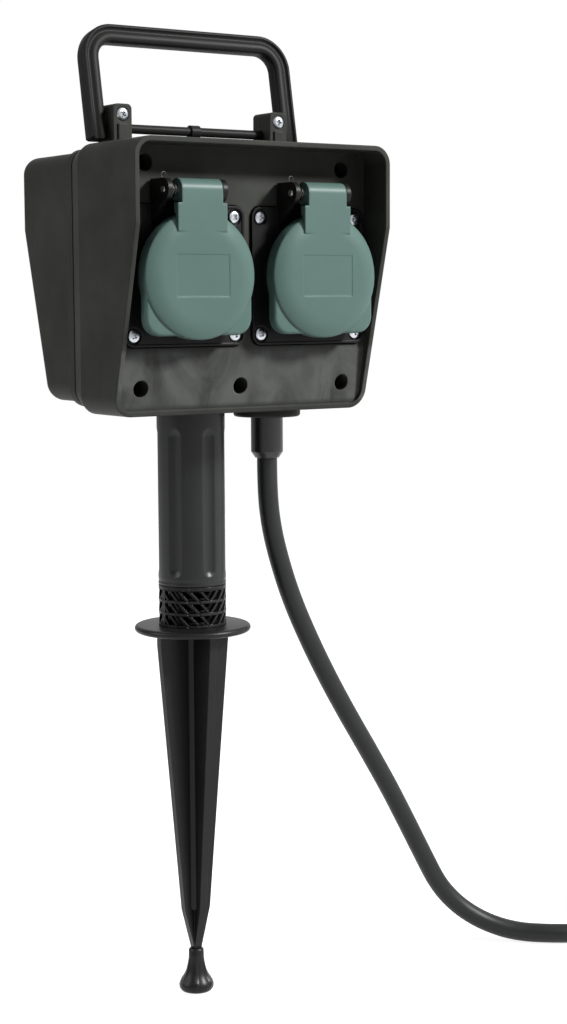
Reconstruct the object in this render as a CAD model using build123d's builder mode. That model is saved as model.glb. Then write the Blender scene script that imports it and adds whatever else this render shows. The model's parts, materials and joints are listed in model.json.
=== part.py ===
"""Garden socket post: a two-way socket box with a rain hood on a ground spike.

Millimetres. +Z is up and the sockets face -Y. The origin is the centre of the
ground flange's underside, on the axis of the post: the level of the lawn.
"""

import os
from math import asin, cos, degrees, pi, radians, sin, sqrt, tan

from build123d import *

os.makedirs("parts", exist_ok=True)


# Overruns and clearances

overrun = 5.0
running_gap = 0.1
soft_gap = 0.3
seat_gap = 0.25


# Front shell with the rain hood

shell_top = 204.0
shell_bottom = 96.0
shell_corner = 7.5
shell_wall = 2.0
parting_y = -5.0
hood_reach = 56.0
kink_level = 171.0
hood_slant = 19.0
lip_length = 10.0
lip_inset = 2.7
lip_top_drop = 1.4
lip_bottom_rise = 2.4

rim_y = parting_y - hood_reach
lip_y = parting_y - lip_length
lip_top = shell_top - lip_top_drop
lip_bottom = shell_bottom + lip_bottom_rise


# Rear shell

rear_inset = 4.7
rear_top_drop = 2.2
rear_bottom_rise = 4.0
rear_reach = 51.0
rear_slant = 20.0
rear_round = 5.0
flange_depth = 5.0

rear_top = shell_top - rear_top_drop
rear_bottom = shell_bottom + rear_bottom_rise
rear_y = parting_y + rear_reach


# Panel behind the hood

panel_setback = 15.8
panel_thickness = 4.4
panel_fold_level = 120.8
lower_panel_slant = 4.3
panel_y = rim_y + panel_setback
panel_back_y = panel_y + panel_thickness


# Sockets

socket_level = 151.2
plate_border = 6.1
plate_spacing = 3.8
side_margin = 2.9
plate_corner = 4.0
plate_thickness = 2.4
plate_proud = 0.8
plate_gap = 0.4
plate_rim_width = 0.9
plate_rim_proud = 0.4
collar_wall = 2.1
collar_reach = 10.0
well_radius = 19.5
well_depth = 17.5
well_tube_depth = 26.0
well_step = 0.3
flange_gasket_thickness = 0.8

collar_radius = well_radius + collar_wall
plate_size = 2 * (collar_radius + plate_border)
socket_pitch = plate_size + plate_spacing
shell_width = socket_pitch + plate_size + 2 * side_margin
lip_width = shell_width - 2 * lip_inset
rear_width = shell_width - 2 * rear_inset
plate_y = panel_y - plate_proud
plate_back_y = plate_y + plate_thickness
gasket_back_y = plate_back_y + flange_gasket_thickness
collar_y = plate_y - collar_reach
well_floor_y = collar_y + well_depth
well_tube_y = collar_y + well_tube_depth
socket_x = socket_pitch / 2


# Socket plate screws

plate_screw_inset = 4.3
plate_screw_shank = 1.3
plate_screw_head = 2.6
plate_screw_head_height = 1.3
plate_screw_length = 9.0
plate_screw_recess = 0.9
plate_screw_recess_gap = 0.7
plate_screw_boss = 3.0
plate_screw_boss_depth = 8.5

plate_screw_spacing = plate_size - 2 * plate_screw_inset
plate_screw_seat_y = plate_y + plate_screw_recess


# Hinge and lid

pin_radius = 1.5
pin_rise = 33.0
pin_forward = 9.6
pin_left_reach = 15.5
pin_right_reach = 12.2
barrel_radius = 4.5
barrel_width = 18.6
ear_radius = 4.4
ear_thickness = 2.2
spring_space = 3.8
spring_wire = 0.6
spring_coil_radius = 2.35
spring_pitch = 1.05
spring_turns = 1.75
spring_leg_up = 4.4

lid_radius = 25.0
lid_face_thickness = 2.0
lid_depth = 7.6
lid_wall = 1.7
lid_flat_radius = 17.0
lid_crown_drop = 2.2
lid_edge_round = 0.5
lid_inner_chamfer = 1.0
lobe_reach = 24.3
lobe_drop = 23.4
lobe_corner = 6.2
lobe_setback = 2.7
lobe_depth = 4.6
neck_width = 22.4
neck_thickness = 3.0
neck_shoulder = 5.0
label_width = 24.3
label_height = 16.4
label_depth = 0.55
seal_radius = 20.6
seal_width = 3.0
seal_thickness = 1.8

pin_y = plate_y - pin_forward
pin_z = socket_level + pin_rise
lid_front_y = pin_y - barrel_radius


# Handle and its lugs

rod_level = 7.3
rod_radius = 1.9
rod_ring_radius = 2.7
rod_ring_width = 4.4
handle_side_gap = 0.7
handle_height = 42.5
handle_foot = 5.3
handle_bar = 7.4
handle_depth = 7.1
handle_lean = 10.7
handle_chamfer = 8.5
handle_round = 4.5
handle_inner_round = 5.0
handle_edge_round = 0.7
handle_channel_inset = 1.5
handle_channel_width = 1.4
handle_channel_depth = 1.1
lug_inset = 22.5
lug_width = 8.4
lug_height = 16.6
lug_front = 7.0
lug_rear = 6.0
lug_round = 2.0
lug_rib_width = 4.4
lug_rib_height = 8.6
lug_rib_proud = 0.7
lug_screw_level = 12.4
lug_screw_shank = 1.4
lug_screw_head = 2.7
lug_screw_head_height = 1.6
lug_screw_recess = 0.9
lug_screw_length = 11.0

rod_z = shell_top + rod_level
lug_spacing = shell_width - 2 * lug_inset
handle_width = lug_spacing + lug_width + 2 * (handle_bar + handle_side_gap)


# Shell screws in their deep wells

screw_well_radius = 3.35
screw_well_wall = 1.05
screw_floor = 9.0
lower_screw_level = 107.0
lower_screw_inset = 11.8
middle_screw_offset = -1.9
upper_screw_level = 195.0
upper_screw_inset = 13.5
shell_screw_shank = 1.45
shell_screw_head = 2.9
shell_screw_head_height = 2.0
shell_screw_length = 19.0
pillar_radius = 3.7

lower_screw_spacing = shell_width - 2 * lower_screw_inset
upper_screw_spacing = shell_width - 2 * upper_screw_inset
screw_boss_radius = screw_well_radius + screw_well_wall
screw_seat_y = parting_y - screw_floor


# Shell gasket

shell_gasket_thickness = 0.8
shell_gasket_width = 1.5
shell_gasket_setback = 0.35


# Post tube

post_radius = 14.55
post_wall = 3.05
post_bottom = 20.5
post_top = 114.5
flute_count = 6
flute_radius = 3.6
flute_depth = 1.15
flute_bottom = 28.0
flute_top = 84.5
seat_collar_wall = 2.2
seat_collar_top = 112.0


# Spike

flange_radius = 25.0
flange_thickness = 3.0
lattice_radius = 14.5
lattice_band = 1.9
lattice_rib = 2.1
lattice_rows = 3
lattice_web = 3.2
lattice_bar = 1.5
lattice_lean = 0.9
lattice_margin = 1.4
spigot_height = 18.0
spigot_wall = 3.0
blade_span = 33.8
blade_taper_span = 12.6
blade_thickness = 3.4
blade_core = 3.6
blade_shoulder = 5.0
blade_taper_end = 123.0
point_level = 146.0
point_span = 3.4
foot_level = 160.3


# Tip guard

guard_sleeve_radius = 3.3
guard_sleeve_length = 9.6
guard_base_radius = 7.65
guard_base_thickness = 5.2
guard_base_round = 1.8
guard_fin_thickness = 1.6
guard_fin_foot = 5.2
guard_bore_depth = 8.4


# Cable entry

cable_diameter = 8.8
gland_inset = 24.6
gland_pad_radius = 19.4
gland_ring_radius = 14.5
gland_ring_height = 4.6
gland_ring_round = 1.2
relief_radius = 6.95
relief_length = 18.0
relief_cone = 2.6
relief_tip_radius = 5.2
relief_flange_radius = 8.1
relief_flange_thickness = 2.2
relief_stub = 3.0
sheath_end_length = 19.0
clamp_rise = 9.0
clamp_width = 22.0
clamp_height = 6.0
clamp_thickness = 3.0
clamp_screw_spacing = 16.4
clamp_screw_shank = 1.3
clamp_screw_head = 2.5
clamp_screw_head_height = 1.6
clamp_post_radius = 3.0

gland_x = shell_width / 2 - gland_inset
gland_y = parting_y


# Socket inserts, contacts and wires

insert_front_gap = 0.15
insert_flange_thickness = 2.4
pin_hole_spacing = 19.0
pin_hole_radius = 2.6
pin_hole_front = 2.2
contact_radius = 3.5
contact_wall = 1.0
contact_length = 13.0
contact_gap = 0.1
earth_width = 6.0
earth_thickness = 0.8
earth_groove_depth = 1.1
earth_front_setback = 5.0
earth_bridge_gap = 1.6
wire_radius = 1.3
wire_rise_level = 136.0
live_link_y = -12.5
neutral_turn_y = -17.0
neutral_dip = [(8.0, -10.0, 141.0), (-27.0, -10.0, 141.0)]
earth_feed_level = 156.0
earth_link_level = 146.4
earth_turn_y = -16.0
earth_dip = [(20.0, -13.0, 135.0), (-20.0, -13.0, 135.0)]


# Plug

plug_radius = 18.5
plug_front_length = 15.0
plug_back_radius = 8.6
plug_body_length = 35.0
plug_neck_radius = 5.6
plug_neck_length = 9.0
plug_pin_radius = 2.4
plug_pin_length = 19.0
plug_pin_spacing = 19.0
plug_earth_width = 5.0
plug_earth_thickness = 0.8
plug_earth_length = 15.0


# The cord's free length: hand-set points from the strain relief to the coil

cable_axis_level = cable_diameter / 2 - foot_level
relief_tip_z = shell_bottom - gland_ring_height - relief_length
cable_route = [
    (gland_x, gland_y, relief_tip_z),
    (gland_x, gland_y, 58.5),
    (37.4, -5.2, 43.0),
    (41.3, -5.5, 28.0),
    (47.0, -5.9, 11.5),
    (54.4, -6.5, -5.0),
    (64.0, -7.0, -23.5),
    (75.2, -7.7, -43.0),
    (87.4, -8.4, -62.6),
    (99.2, -9.1, -82.2),
    (109.4, -9.8, -100.8),
    (118.4, -10.5, -117.6),
    (126.6, -11.1, -132.5),
    (136.0, -14.9, -143.7),
    (146.9, -21.6, -151.7),
    (158.3, -30.6, cable_axis_level),
    (170.5, -42.4, cable_axis_level),
    (184.2, -50.7, cable_axis_level),
    (198.7, -59.2, cable_axis_level),
    (213.9, -67.5, cable_axis_level),
]
lead_in = 16.0
coil_heading = -28.0
coil_radius = 52.0
coil_pitch = 9.5
coil_layer_gap = 0.5
inward_quarter_count = 6
outward_quarter_count = 5
climb_quarter_count = 2
tail_end_run = 11.5
tail_lift_run = 21.5


# Shared shapes

def slab(width, top, bottom, corner, front_y, back_y, mode=Mode.ADD):
    """A rounded rectangle seen from the front, as deep as from back_y to front_y."""
    with BuildSketch(Plane.XZ.offset(-back_y)) as outline:
        with Locations((0, (top + bottom) / 2)):
            RectangleRounded(width, top - bottom, corner)
    extrude(outline.sketch, amount=back_y - front_y, mode=mode)


def bars_along_y(points, radius, front_y, back_y, mode=Mode.ADD):
    """Round bars or holes along Y, centred on points given as x and z."""
    with BuildSketch(Plane.XZ.offset(-back_y)) as ends:
        with Locations(*points):
            Circle(radius)
    extrude(ends.sketch, amount=back_y - front_y, mode=mode)


def bar_along_x(y, z, radius, left_x, right_x, mode=Mode.ADD):
    """A round bar or hole along X."""
    with BuildSketch(Plane.YZ.offset(left_x)) as end:
        with Locations((y, z)):
            Circle(radius)
    extrude(end.sketch, amount=right_x - left_x, mode=mode)


def upright_bar(x, y, radius, low_z, high_z, mode=Mode.ADD):
    """A round bar or hole along Z."""
    with BuildSketch(Plane.XY.offset(low_z)) as end:
        with Locations((x, y)):
            Circle(radius)
    extrude(end.sketch, amount=high_z - low_z, mode=mode)


def profile_across(points, half_width, mode=Mode.ADD, middle_x=0.0):
    """An outline of y and z points, extruded to both sides of middle_x."""
    with BuildSketch(Plane.YZ.offset(middle_x)) as profile:
        with BuildLine():
            Polyline(*points, close=True)
        make_face()
    extrude(profile.sketch, amount=half_width, both=True, mode=mode)


def lip_taper(inset, from_y, to_y):
    """The drawn-in edge of the front shell, or of the space inside it."""
    with BuildSketch(Plane.XZ.offset(-from_y)) as full:
        with Locations((0, (shell_top + shell_bottom) / 2)):
            RectangleRounded(
                shell_width - 2 * inset,
                shell_top - shell_bottom - 2 * inset,
                shell_corner - inset,
            )
    with BuildSketch(Plane.XZ.offset(-to_y)) as drawn_in:
        with Locations((0, (lip_top + lip_bottom) / 2)):
            RectangleRounded(
                lip_width - 2 * inset,
                lip_top - lip_bottom - 2 * inset,
                shell_corner - inset,
            )
    loft([full.sketch.face(), drawn_in.sketch.face()])


def half_disc(x, y, radius, low_z, high_z, side, edge_y):
    """The part of an upright disc that lies on one side of the plane y = edge_y."""
    with BuildSketch(Plane.XY.offset(low_z)) as disc:
        with Locations((x, y)):
            Circle(radius)
        with Locations((x, edge_y + side * radius)):
            Rectangle(2 * radius, 2 * radius, mode=Mode.INTERSECT)
    extrude(disc.sketch, amount=high_z - low_z)


def write(piece, name):
    piece.part.label = name
    export_step(piece.part, f"parts/{name}.step")


# Places that several pieces share

front_end_y = parting_y - shell_gasket_thickness / 2
rear_start_y = parting_y + shell_gasket_thickness / 2
inner_top = shell_top - shell_wall
inner_bottom = shell_bottom + shell_wall
inner_width = shell_width - 2 * shell_wall
inner_corner = shell_corner - shell_wall
lower_panel_foot = panel_y + lower_panel_slant
rear_slope = rear_slant / (kink_level - rear_bottom)
hood_slope = hood_slant / (kink_level - shell_bottom)
panel_slope = lower_panel_slant / (panel_fold_level - inner_bottom)

shell_screw_points = [
    (-lower_screw_spacing / 2, lower_screw_level),
    (middle_screw_offset, lower_screw_level),
    (lower_screw_spacing / 2, lower_screw_level),
    (-upper_screw_spacing / 2, upper_screw_level),
    (upper_screw_spacing / 2, upper_screw_level),
]
lug_points = [(-lug_spacing / 2, shell_top), (lug_spacing / 2, shell_top)]
lug_screw_z = shell_top + lug_screw_level
lug_screw_points = [(x, lug_screw_z) for x, top in lug_points]
clamp_z = shell_bottom + gland_ring_height + clamp_rise + relief_stub + clamp_height
clamp_points = [
    (gland_x - clamp_screw_spacing / 2, clamp_z),
    (gland_x + clamp_screw_spacing / 2, clamp_z),
]


def plate_screw_points(socket_centre):
    reach = plate_screw_spacing / 2
    return [
        (socket_centre + side * reach, socket_level + rise * reach)
        for side in (-1, 1)
        for rise in (-1, 1)
    ]


# Front shell: hood, panel and the front halves of the lugs

with BuildPart() as hood_space:
    slab(inner_width, inner_top, inner_bottom, inner_corner, rim_y - overrun, lower_panel_foot)
    profile_across(
        [
            (rim_y - overrun, inner_top + overrun),
            (panel_y, inner_top + overrun),
            (panel_y, panel_fold_level),
            (lower_panel_foot, inner_bottom),
            (lower_panel_foot, inner_bottom - overrun),
            (rim_y - overrun, inner_bottom - overrun),
        ],
        shell_width,
        Mode.INTERSECT,
    )

with BuildPart() as front_space:
    slab(inner_width, inner_top, inner_bottom, inner_corner, panel_back_y, lip_y)
    lip_taper(shell_wall, lip_y, front_end_y)
    profile_across(
        [
            (panel_back_y - overrun, panel_fold_level),
            (panel_back_y, panel_fold_level),
            (panel_back_y + lower_panel_slant, inner_bottom),
            (panel_back_y + lower_panel_slant, inner_bottom - overrun),
            (panel_back_y - overrun, inner_bottom - overrun),
        ],
        shell_width,
        Mode.SUBTRACT,
    )
    upright_bar(
        0,
        0,
        post_radius + seat_gap + seat_collar_wall,
        shell_bottom,
        seat_collar_top,
        Mode.SUBTRACT,
    )

with BuildPart() as front_shell:
    slab(shell_width, shell_top, shell_bottom, shell_corner, rim_y, lip_y)
    lip_taper(0, lip_y, front_end_y)
    profile_across(
        [
            (rim_y - overrun, kink_level),
            (rim_y, kink_level),
            (rim_y + hood_slant, shell_bottom),
            (rim_y + hood_slant + overrun * hood_slope, shell_bottom - overrun),
            (rim_y - overrun, shell_bottom - overrun),
        ],
        shell_width,
        Mode.SUBTRACT,
    )
    add(hood_space.part, mode=Mode.SUBTRACT)
    add(front_space.part, mode=Mode.SUBTRACT)
    upright_bar(
        0,
        0,
        post_radius + seat_gap,
        shell_bottom - overrun,
        seat_collar_top + overrun,
        Mode.SUBTRACT,
    )
    bars_along_y(shell_screw_points, screw_boss_radius, panel_back_y, front_end_y)
    bars_along_y(
        shell_screw_points, screw_well_radius, rim_y - overrun, screw_seat_y, Mode.SUBTRACT
    )
    bars_along_y(
        shell_screw_points,
        shell_screw_shank + seat_gap,
        screw_seat_y,
        front_end_y,
        Mode.SUBTRACT,
    )
    for centre in (-socket_x, socket_x):
        with BuildSketch(Plane.XZ.offset(-gasket_back_y)) as pocket:
            with Locations((centre, socket_level)):
                RectangleRounded(
                    plate_size + 2 * plate_gap, plate_size + 2 * plate_gap, plate_corner + plate_gap
                )
        extrude(pocket.sketch, amount=gasket_back_y - panel_y, mode=Mode.SUBTRACT)
        bars_along_y(
            plate_screw_points(centre),
            plate_screw_boss,
            gasket_back_y,
            gasket_back_y + plate_screw_boss_depth,
        )
        bars_along_y(
            plate_screw_points(centre),
            plate_screw_shank + running_gap,
            gasket_back_y,
            plate_screw_seat_y + plate_screw_length + running_gap,
            Mode.SUBTRACT,
        )
        bars_along_y(
            [(centre, socket_level)],
            collar_radius + plate_gap,
            panel_y,
            panel_back_y,
            Mode.SUBTRACT,
        )
    for lug_x, lug_base in lug_points:
        with BuildSketch(Plane.XZ.offset(-parting_y)) as lug_face:
            with BuildLine():
                FilletPolyline(
                    (lug_x - lug_width / 2, lug_base - shell_wall),
                    (lug_x - lug_width / 2, lug_base + lug_height),
                    (lug_x + lug_width / 2, lug_base + lug_height),
                    (lug_x + lug_width / 2, lug_base - shell_wall),
                    radius=lug_round,
                )
                Line(
                    (lug_x + lug_width / 2, lug_base - shell_wall),
                    (lug_x - lug_width / 2, lug_base - shell_wall),
                )
            make_face()
        extrude(lug_face.sketch, amount=lug_front)
        with BuildSketch(Plane.XZ.offset(lug_front - parting_y)) as rib_face:
            with Locations((lug_x, lug_base - shell_wall / 2)):
                Rectangle(
                    lug_rib_width, lug_rib_height + shell_wall / 2, align=(Align.CENTER, Align.MIN)
                )
        extrude(rib_face.sketch, amount=lug_rib_proud)
    bars_along_y(
        lug_screw_points,
        lug_screw_head + running_gap,
        parting_y - lug_front,
        parting_y - lug_front + lug_screw_recess,
        Mode.SUBTRACT,
    )
    bars_along_y(
        lug_screw_points,
        lug_screw_shank + running_gap,
        parting_y - lug_front,
        parting_y,
        Mode.SUBTRACT,
    )
    bar_along_x(
        parting_y, rod_z, rod_radius + running_gap, -shell_width / 2, shell_width / 2, Mode.SUBTRACT
    )
    half_disc(
        gland_x, gland_y, gland_pad_radius, shell_bottom, inner_bottom + shell_wall / 2, -1, front_end_y
    )
    slab(lip_width, lip_top, lip_bottom, shell_corner, front_end_y, parting_y, Mode.SUBTRACT)
    upright_bar(
        gland_x,
        gland_y,
        relief_radius + seat_gap,
        shell_bottom - overrun,
        inner_bottom + overrun,
        Mode.SUBTRACT,
    )
write(front_shell, "front_shell")


# Rear shell: casing with pillars for the screws and the rear halves of the lugs

with BuildPart() as rear_space:
    slab(
        rear_width - 2 * shell_wall,
        rear_top - shell_wall,
        rear_bottom + shell_wall,
        rear_round,
        rear_start_y,
        rear_y - shell_wall,
    )
    profile_across(
        [
            (rear_y - shell_wall, kink_level),
            (rear_y - shell_wall - rear_slope * (kink_level - rear_bottom), rear_bottom),
            (rear_y + overrun, rear_bottom),
            (rear_y + overrun, kink_level),
        ],
        shell_width,
        Mode.SUBTRACT,
    )
    upright_bar(
        0,
        0,
        post_radius + seat_gap + seat_collar_wall,
        rear_bottom,
        seat_collar_top,
        Mode.SUBTRACT,
    )
    bars_along_y(shell_screw_points, pillar_radius, rear_start_y, rear_y, Mode.SUBTRACT)
    bars_along_y(
        clamp_points,
        clamp_post_radius,
        gland_y + cable_diameter / 4,
        rear_y,
        Mode.SUBTRACT,
    )

with BuildPart() as rear_shell:
    slab(rear_width, rear_top, rear_bottom, shell_corner, rear_start_y, rear_y)
    profile_across(
        [
            (rear_y, kink_level),
            (rear_y - rear_slant, rear_bottom),
            (rear_y - rear_slant - overrun * rear_slope, rear_bottom - overrun),
            (rear_y + overrun, rear_bottom - overrun),
            (rear_y + overrun, kink_level),
        ],
        shell_width,
        Mode.SUBTRACT,
    )
    back_faces = rear_shell.faces().sort_by(Axis.Y)[-2:]
    rear_rim = ShapeList(
        edge
        for face in back_faces
        for edge in face.edges()
        if abs(edge.center().Z - kink_level) > overrun
    )
    fillet(rear_rim, radius=rear_round)
    slab(lip_width, lip_top, lip_bottom, shell_corner, rear_start_y, parting_y + flange_depth)
    half_disc(
        gland_x, gland_y, gland_pad_radius, shell_bottom, rear_bottom + shell_wall / 2, 1, rear_start_y
    )
    add(rear_space.part, mode=Mode.SUBTRACT)
    with BuildSketch(Plane.XY.offset(shell_bottom - overrun)) as post_slot:
        Circle(post_radius + seat_gap)
        with Locations((0, parting_y)):
            Rectangle(2 * (post_radius + seat_gap), -2 * parting_y)
    extrude(
        post_slot.sketch, amount=seat_collar_top - shell_bottom + 2 * overrun, mode=Mode.SUBTRACT
    )
    bars_along_y(
        [(middle_screw_offset, lower_screw_level)], pillar_radius, rear_start_y, rear_y - rear_slant
    )
    for lug_x, lug_base in lug_points:
        with BuildSketch(Plane.XZ.offset(-parting_y - lug_rear)) as lug_face:
            with BuildLine():
                FilletPolyline(
                    (lug_x - lug_width / 2, rear_top - shell_wall),
                    (lug_x - lug_width / 2, lug_base + lug_height),
                    (lug_x + lug_width / 2, lug_base + lug_height),
                    (lug_x + lug_width / 2, rear_top - shell_wall),
                    radius=lug_round,
                )
                Line(
                    (lug_x + lug_width / 2, rear_top - shell_wall),
                    (lug_x - lug_width / 2, rear_top - shell_wall),
                )
            make_face()
        extrude(lug_face.sketch, amount=lug_rear - running_gap)
    slab(lip_width, lip_top, lip_bottom, shell_corner, parting_y, rear_start_y, Mode.SUBTRACT)
    bars_along_y(
        lug_screw_points,
        lug_screw_shank + running_gap / 2,
        parting_y - overrun,
        parting_y - lug_front + lug_screw_recess + lug_screw_length + running_gap,
        Mode.SUBTRACT,
    )
    bars_along_y(
        shell_screw_points,
        shell_screw_shank + running_gap / 2,
        parting_y - overrun,
        screw_seat_y + shell_screw_length + running_gap,
        Mode.SUBTRACT,
    )
    bars_along_y(
        clamp_points,
        clamp_screw_shank + running_gap / 2,
        gland_y,
        rear_y - rear_slant - shell_wall - overrun,
        Mode.SUBTRACT,
    )
    bar_along_x(
        parting_y, rod_z, rod_radius + running_gap, -shell_width / 2, shell_width / 2, Mode.SUBTRACT
    )
    upright_bar(
        gland_x,
        gland_y,
        relief_radius + seat_gap,
        shell_bottom - overrun,
        rear_bottom + overrun,
        Mode.SUBTRACT,
    )
write(rear_shell, "rear_shell")


# Shell gasket between the two rims

with BuildPart() as shell_gasket:
    slab(
        lip_width - 2 * shell_gasket_setback,
        lip_top - shell_gasket_setback,
        lip_bottom + shell_gasket_setback,
        shell_corner - shell_gasket_setback,
        front_end_y,
        rear_start_y,
    )
    gasket_inset = shell_gasket_setback + shell_gasket_width
    slab(
        lip_width - 2 * gasket_inset,
        lip_top - gasket_inset,
        lip_bottom + gasket_inset,
        shell_corner - gasket_inset,
        front_end_y,
        rear_start_y,
        Mode.SUBTRACT,
    )
    upright_bar(
        0, 0, post_radius + soft_gap, shell_bottom, seat_collar_top, Mode.SUBTRACT
    )
    upright_bar(
        gland_x, gland_y, relief_radius + soft_gap, shell_bottom, seat_collar_top, Mode.SUBTRACT
    )
write(shell_gasket, "shell_gasket")


# Screws: a round head with a domed face and a plain shank

def screw_group(points, seat_y, head_radius, head_height, shank_radius, length):
    """Screws along Y, with their heads in front of seat_y."""
    with BuildPart() as group:
        bars_along_y(points, head_radius, seat_y - head_height, seat_y)
        front = group.edges().group_by(Axis.Y)[0]
        chamfer(front, length=head_height / 3)
        bars_along_y(points, shank_radius, seat_y, seat_y + length)
    return group


shell_screws = screw_group(
    shell_screw_points,
    screw_seat_y,
    shell_screw_head,
    shell_screw_head_height,
    shell_screw_shank,
    shell_screw_length,
)
write(shell_screws, "shell_screws")

lug_screws = screw_group(
    lug_screw_points,
    parting_y - lug_front + lug_screw_recess,
    lug_screw_head,
    lug_screw_head_height,
    lug_screw_shank,
    lug_screw_length,
)
write(lug_screws, "lug_screws")


# Sockets: body with collar and hinge ears, insert, contacts, gasket, screws, lid

left_ear = (-barrel_width / 2 - spring_space - ear_thickness, -barrel_width / 2 - spring_space)
right_ear = (barrel_width / 2 + soft_gap, barrel_width / 2 + soft_gap + ear_thickness)


def hinge_ear(from_x, to_x):
    with BuildSketch(Plane.YZ.offset(from_x)) as side:
        with BuildLine():
            Polyline(
                (plate_y, pin_z + ear_radius),
                (pin_y, pin_z + ear_radius),
                (pin_y, pin_z - ear_radius),
                (plate_y, pin_z - 3 * ear_radius),
                close=True,
            )
        make_face()
        with Locations((pin_y, pin_z)):
            Circle(ear_radius)
    extrude(side.sketch, amount=to_x - from_x)


def socket_body(centre):
    with BuildPart() as body:
        with BuildSketch(Plane.XZ.offset(-plate_back_y)) as plate:
            with Locations((centre, socket_level)):
                RectangleRounded(plate_size, plate_size, plate_corner)
        extrude(plate.sketch, amount=plate_thickness)
        with BuildSketch(Plane.XZ.offset(-plate_y)) as rim:
            with Locations((centre, socket_level)):
                RectangleRounded(plate_size, plate_size, plate_corner)
                RectangleRounded(
                    plate_size - 2 * plate_rim_width,
                    plate_size - 2 * plate_rim_width,
                    plate_corner - plate_rim_width,
                    mode=Mode.SUBTRACT,
                )
        extrude(rim.sketch, amount=plate_rim_proud)
        bars_along_y([(centre, socket_level)], collar_radius, collar_y, well_tube_y)
        for from_x, to_x in (left_ear, right_ear):
            hinge_ear(centre + from_x, centre + to_x)
        with BuildSketch(Plane.XZ.offset(-plate_y)) as hinge_wall:
            with BuildLine():
                Polyline(
                    (centre + left_ear[0], pin_z - 2 * ear_radius),
                    (centre + left_ear[0], pin_z + ear_radius),
                    (centre + right_ear[1], pin_z + ear_radius),
                    (centre + right_ear[1], pin_z - 2 * ear_radius),
                    close=True,
                )
            make_face()
        extrude(hinge_wall.sketch, amount=plate_proud * 2)
        bars_along_y(
            [(centre, socket_level)], well_radius, collar_y, well_tube_y, Mode.SUBTRACT
        )
        bars_along_y(
            [(centre, socket_level)],
            well_radius + well_step,
            well_floor_y - insert_front_gap,
            well_tube_y,
            Mode.SUBTRACT,
        )
        with BuildSketch(Plane.XZ.offset(-well_tube_y)) as earth_grooves:
            with Locations((centre, socket_level)):
                Rectangle(
                    earth_width + 2 * seat_gap, 2 * (well_radius + earth_groove_depth)
                )
        extrude(
            earth_grooves.sketch,
            amount=well_tube_y - collar_y - earth_front_setback + seat_gap,
            mode=Mode.SUBTRACT,
        )
        bars_along_y(
            plate_screw_points(centre),
            plate_screw_shank + seat_gap,
            plate_y,
            plate_back_y,
            Mode.SUBTRACT,
        )
        bars_along_y(
            plate_screw_points(centre),
            plate_screw_head + plate_screw_recess_gap,
            plate_y - plate_rim_proud,
            plate_screw_seat_y,
            Mode.SUBTRACT,
        )
        bar_along_x(
            pin_y,
            pin_z,
            pin_radius + running_gap,
            centre + left_ear[0],
            centre + right_ear[1],
            Mode.SUBTRACT,
        )
    return body


def socket_insert(centre):
    with BuildPart() as insert:
        bars_along_y(
            [(centre, socket_level)], well_radius - insert_front_gap, well_floor_y, well_tube_y
        )
        bars_along_y(
            [(centre, socket_level)],
            collar_radius,
            well_tube_y,
            well_tube_y + insert_flange_thickness,
        )
        pins = [
            (centre - pin_hole_spacing / 2, socket_level),
            (centre + pin_hole_spacing / 2, socket_level),
        ]
        bars_along_y(
            pins, pin_hole_radius, well_floor_y, well_floor_y + pin_hole_front, Mode.SUBTRACT
        )
        bars_along_y(
            pins,
            contact_radius + contact_gap,
            well_floor_y + pin_hole_front,
            well_tube_y + insert_flange_thickness,
            Mode.SUBTRACT,
        )
        notch_rise = well_radius + (collar_radius - well_radius) / 2
        with BuildSketch(Plane.XZ.offset(-well_tube_y - insert_flange_thickness)) as notches:
            with Locations(
                (centre, socket_level + notch_rise), (centre, socket_level - notch_rise)
            ):
                Rectangle(earth_width + 2 * seat_gap, 2 * (collar_radius - well_radius))
        extrude(
            notches.sketch,
            amount=well_tube_y + insert_flange_thickness - well_floor_y,
            mode=Mode.SUBTRACT,
        )
    return insert


def plug_contacts(centre):
    front = well_floor_y + pin_hole_front + contact_gap
    with BuildPart() as contacts:
        pins = [
            (centre - pin_hole_spacing / 2, socket_level),
            (centre + pin_hole_spacing / 2, socket_level),
        ]
        bars_along_y(pins, contact_radius, front, front + contact_length)
        bars_along_y(
            pins,
            contact_radius - contact_wall,
            front,
            front + contact_length - 3 * contact_wall,
            Mode.SUBTRACT,
        )
    return contacts


earth_outer = well_radius + earth_groove_depth - (earth_groove_depth - earth_thickness) / 2
earth_bridge_y = well_tube_y + insert_flange_thickness + earth_bridge_gap
earth_back_y = earth_bridge_y + earth_thickness


def earth_bow(centre):
    with BuildPart() as bow:
        profile_across(
            [
                (collar_y + earth_front_setback, socket_level - earth_outer),
                (collar_y + earth_front_setback, socket_level + earth_outer),
                (earth_back_y, socket_level + earth_outer),
                (earth_back_y, socket_level - earth_outer),
            ],
            earth_width / 2,
            middle_x=centre,
        )
        profile_across(
            [
                (collar_y, socket_level - earth_outer + earth_thickness),
                (collar_y, socket_level + earth_outer - earth_thickness),
                (earth_bridge_y, socket_level + earth_outer - earth_thickness),
                (earth_bridge_y, socket_level - earth_outer + earth_thickness),
            ],
            earth_width,
            Mode.SUBTRACT,
            centre,
        )
    return bow


def flange_gasket(centre):
    with BuildPart() as gasket:
        with BuildSketch(Plane.XZ.offset(-gasket_back_y)) as ring:
            with Locations((centre, socket_level)):
                RectangleRounded(plate_size - plate_gap, plate_size - plate_gap, plate_corner)
                Circle(collar_radius + soft_gap, mode=Mode.SUBTRACT)
            with Locations(*plate_screw_points(centre)):
                Circle(plate_screw_shank + soft_gap, mode=Mode.SUBTRACT)
        extrude(ring.sketch, amount=flange_gasket_thickness)
    return gasket


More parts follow.
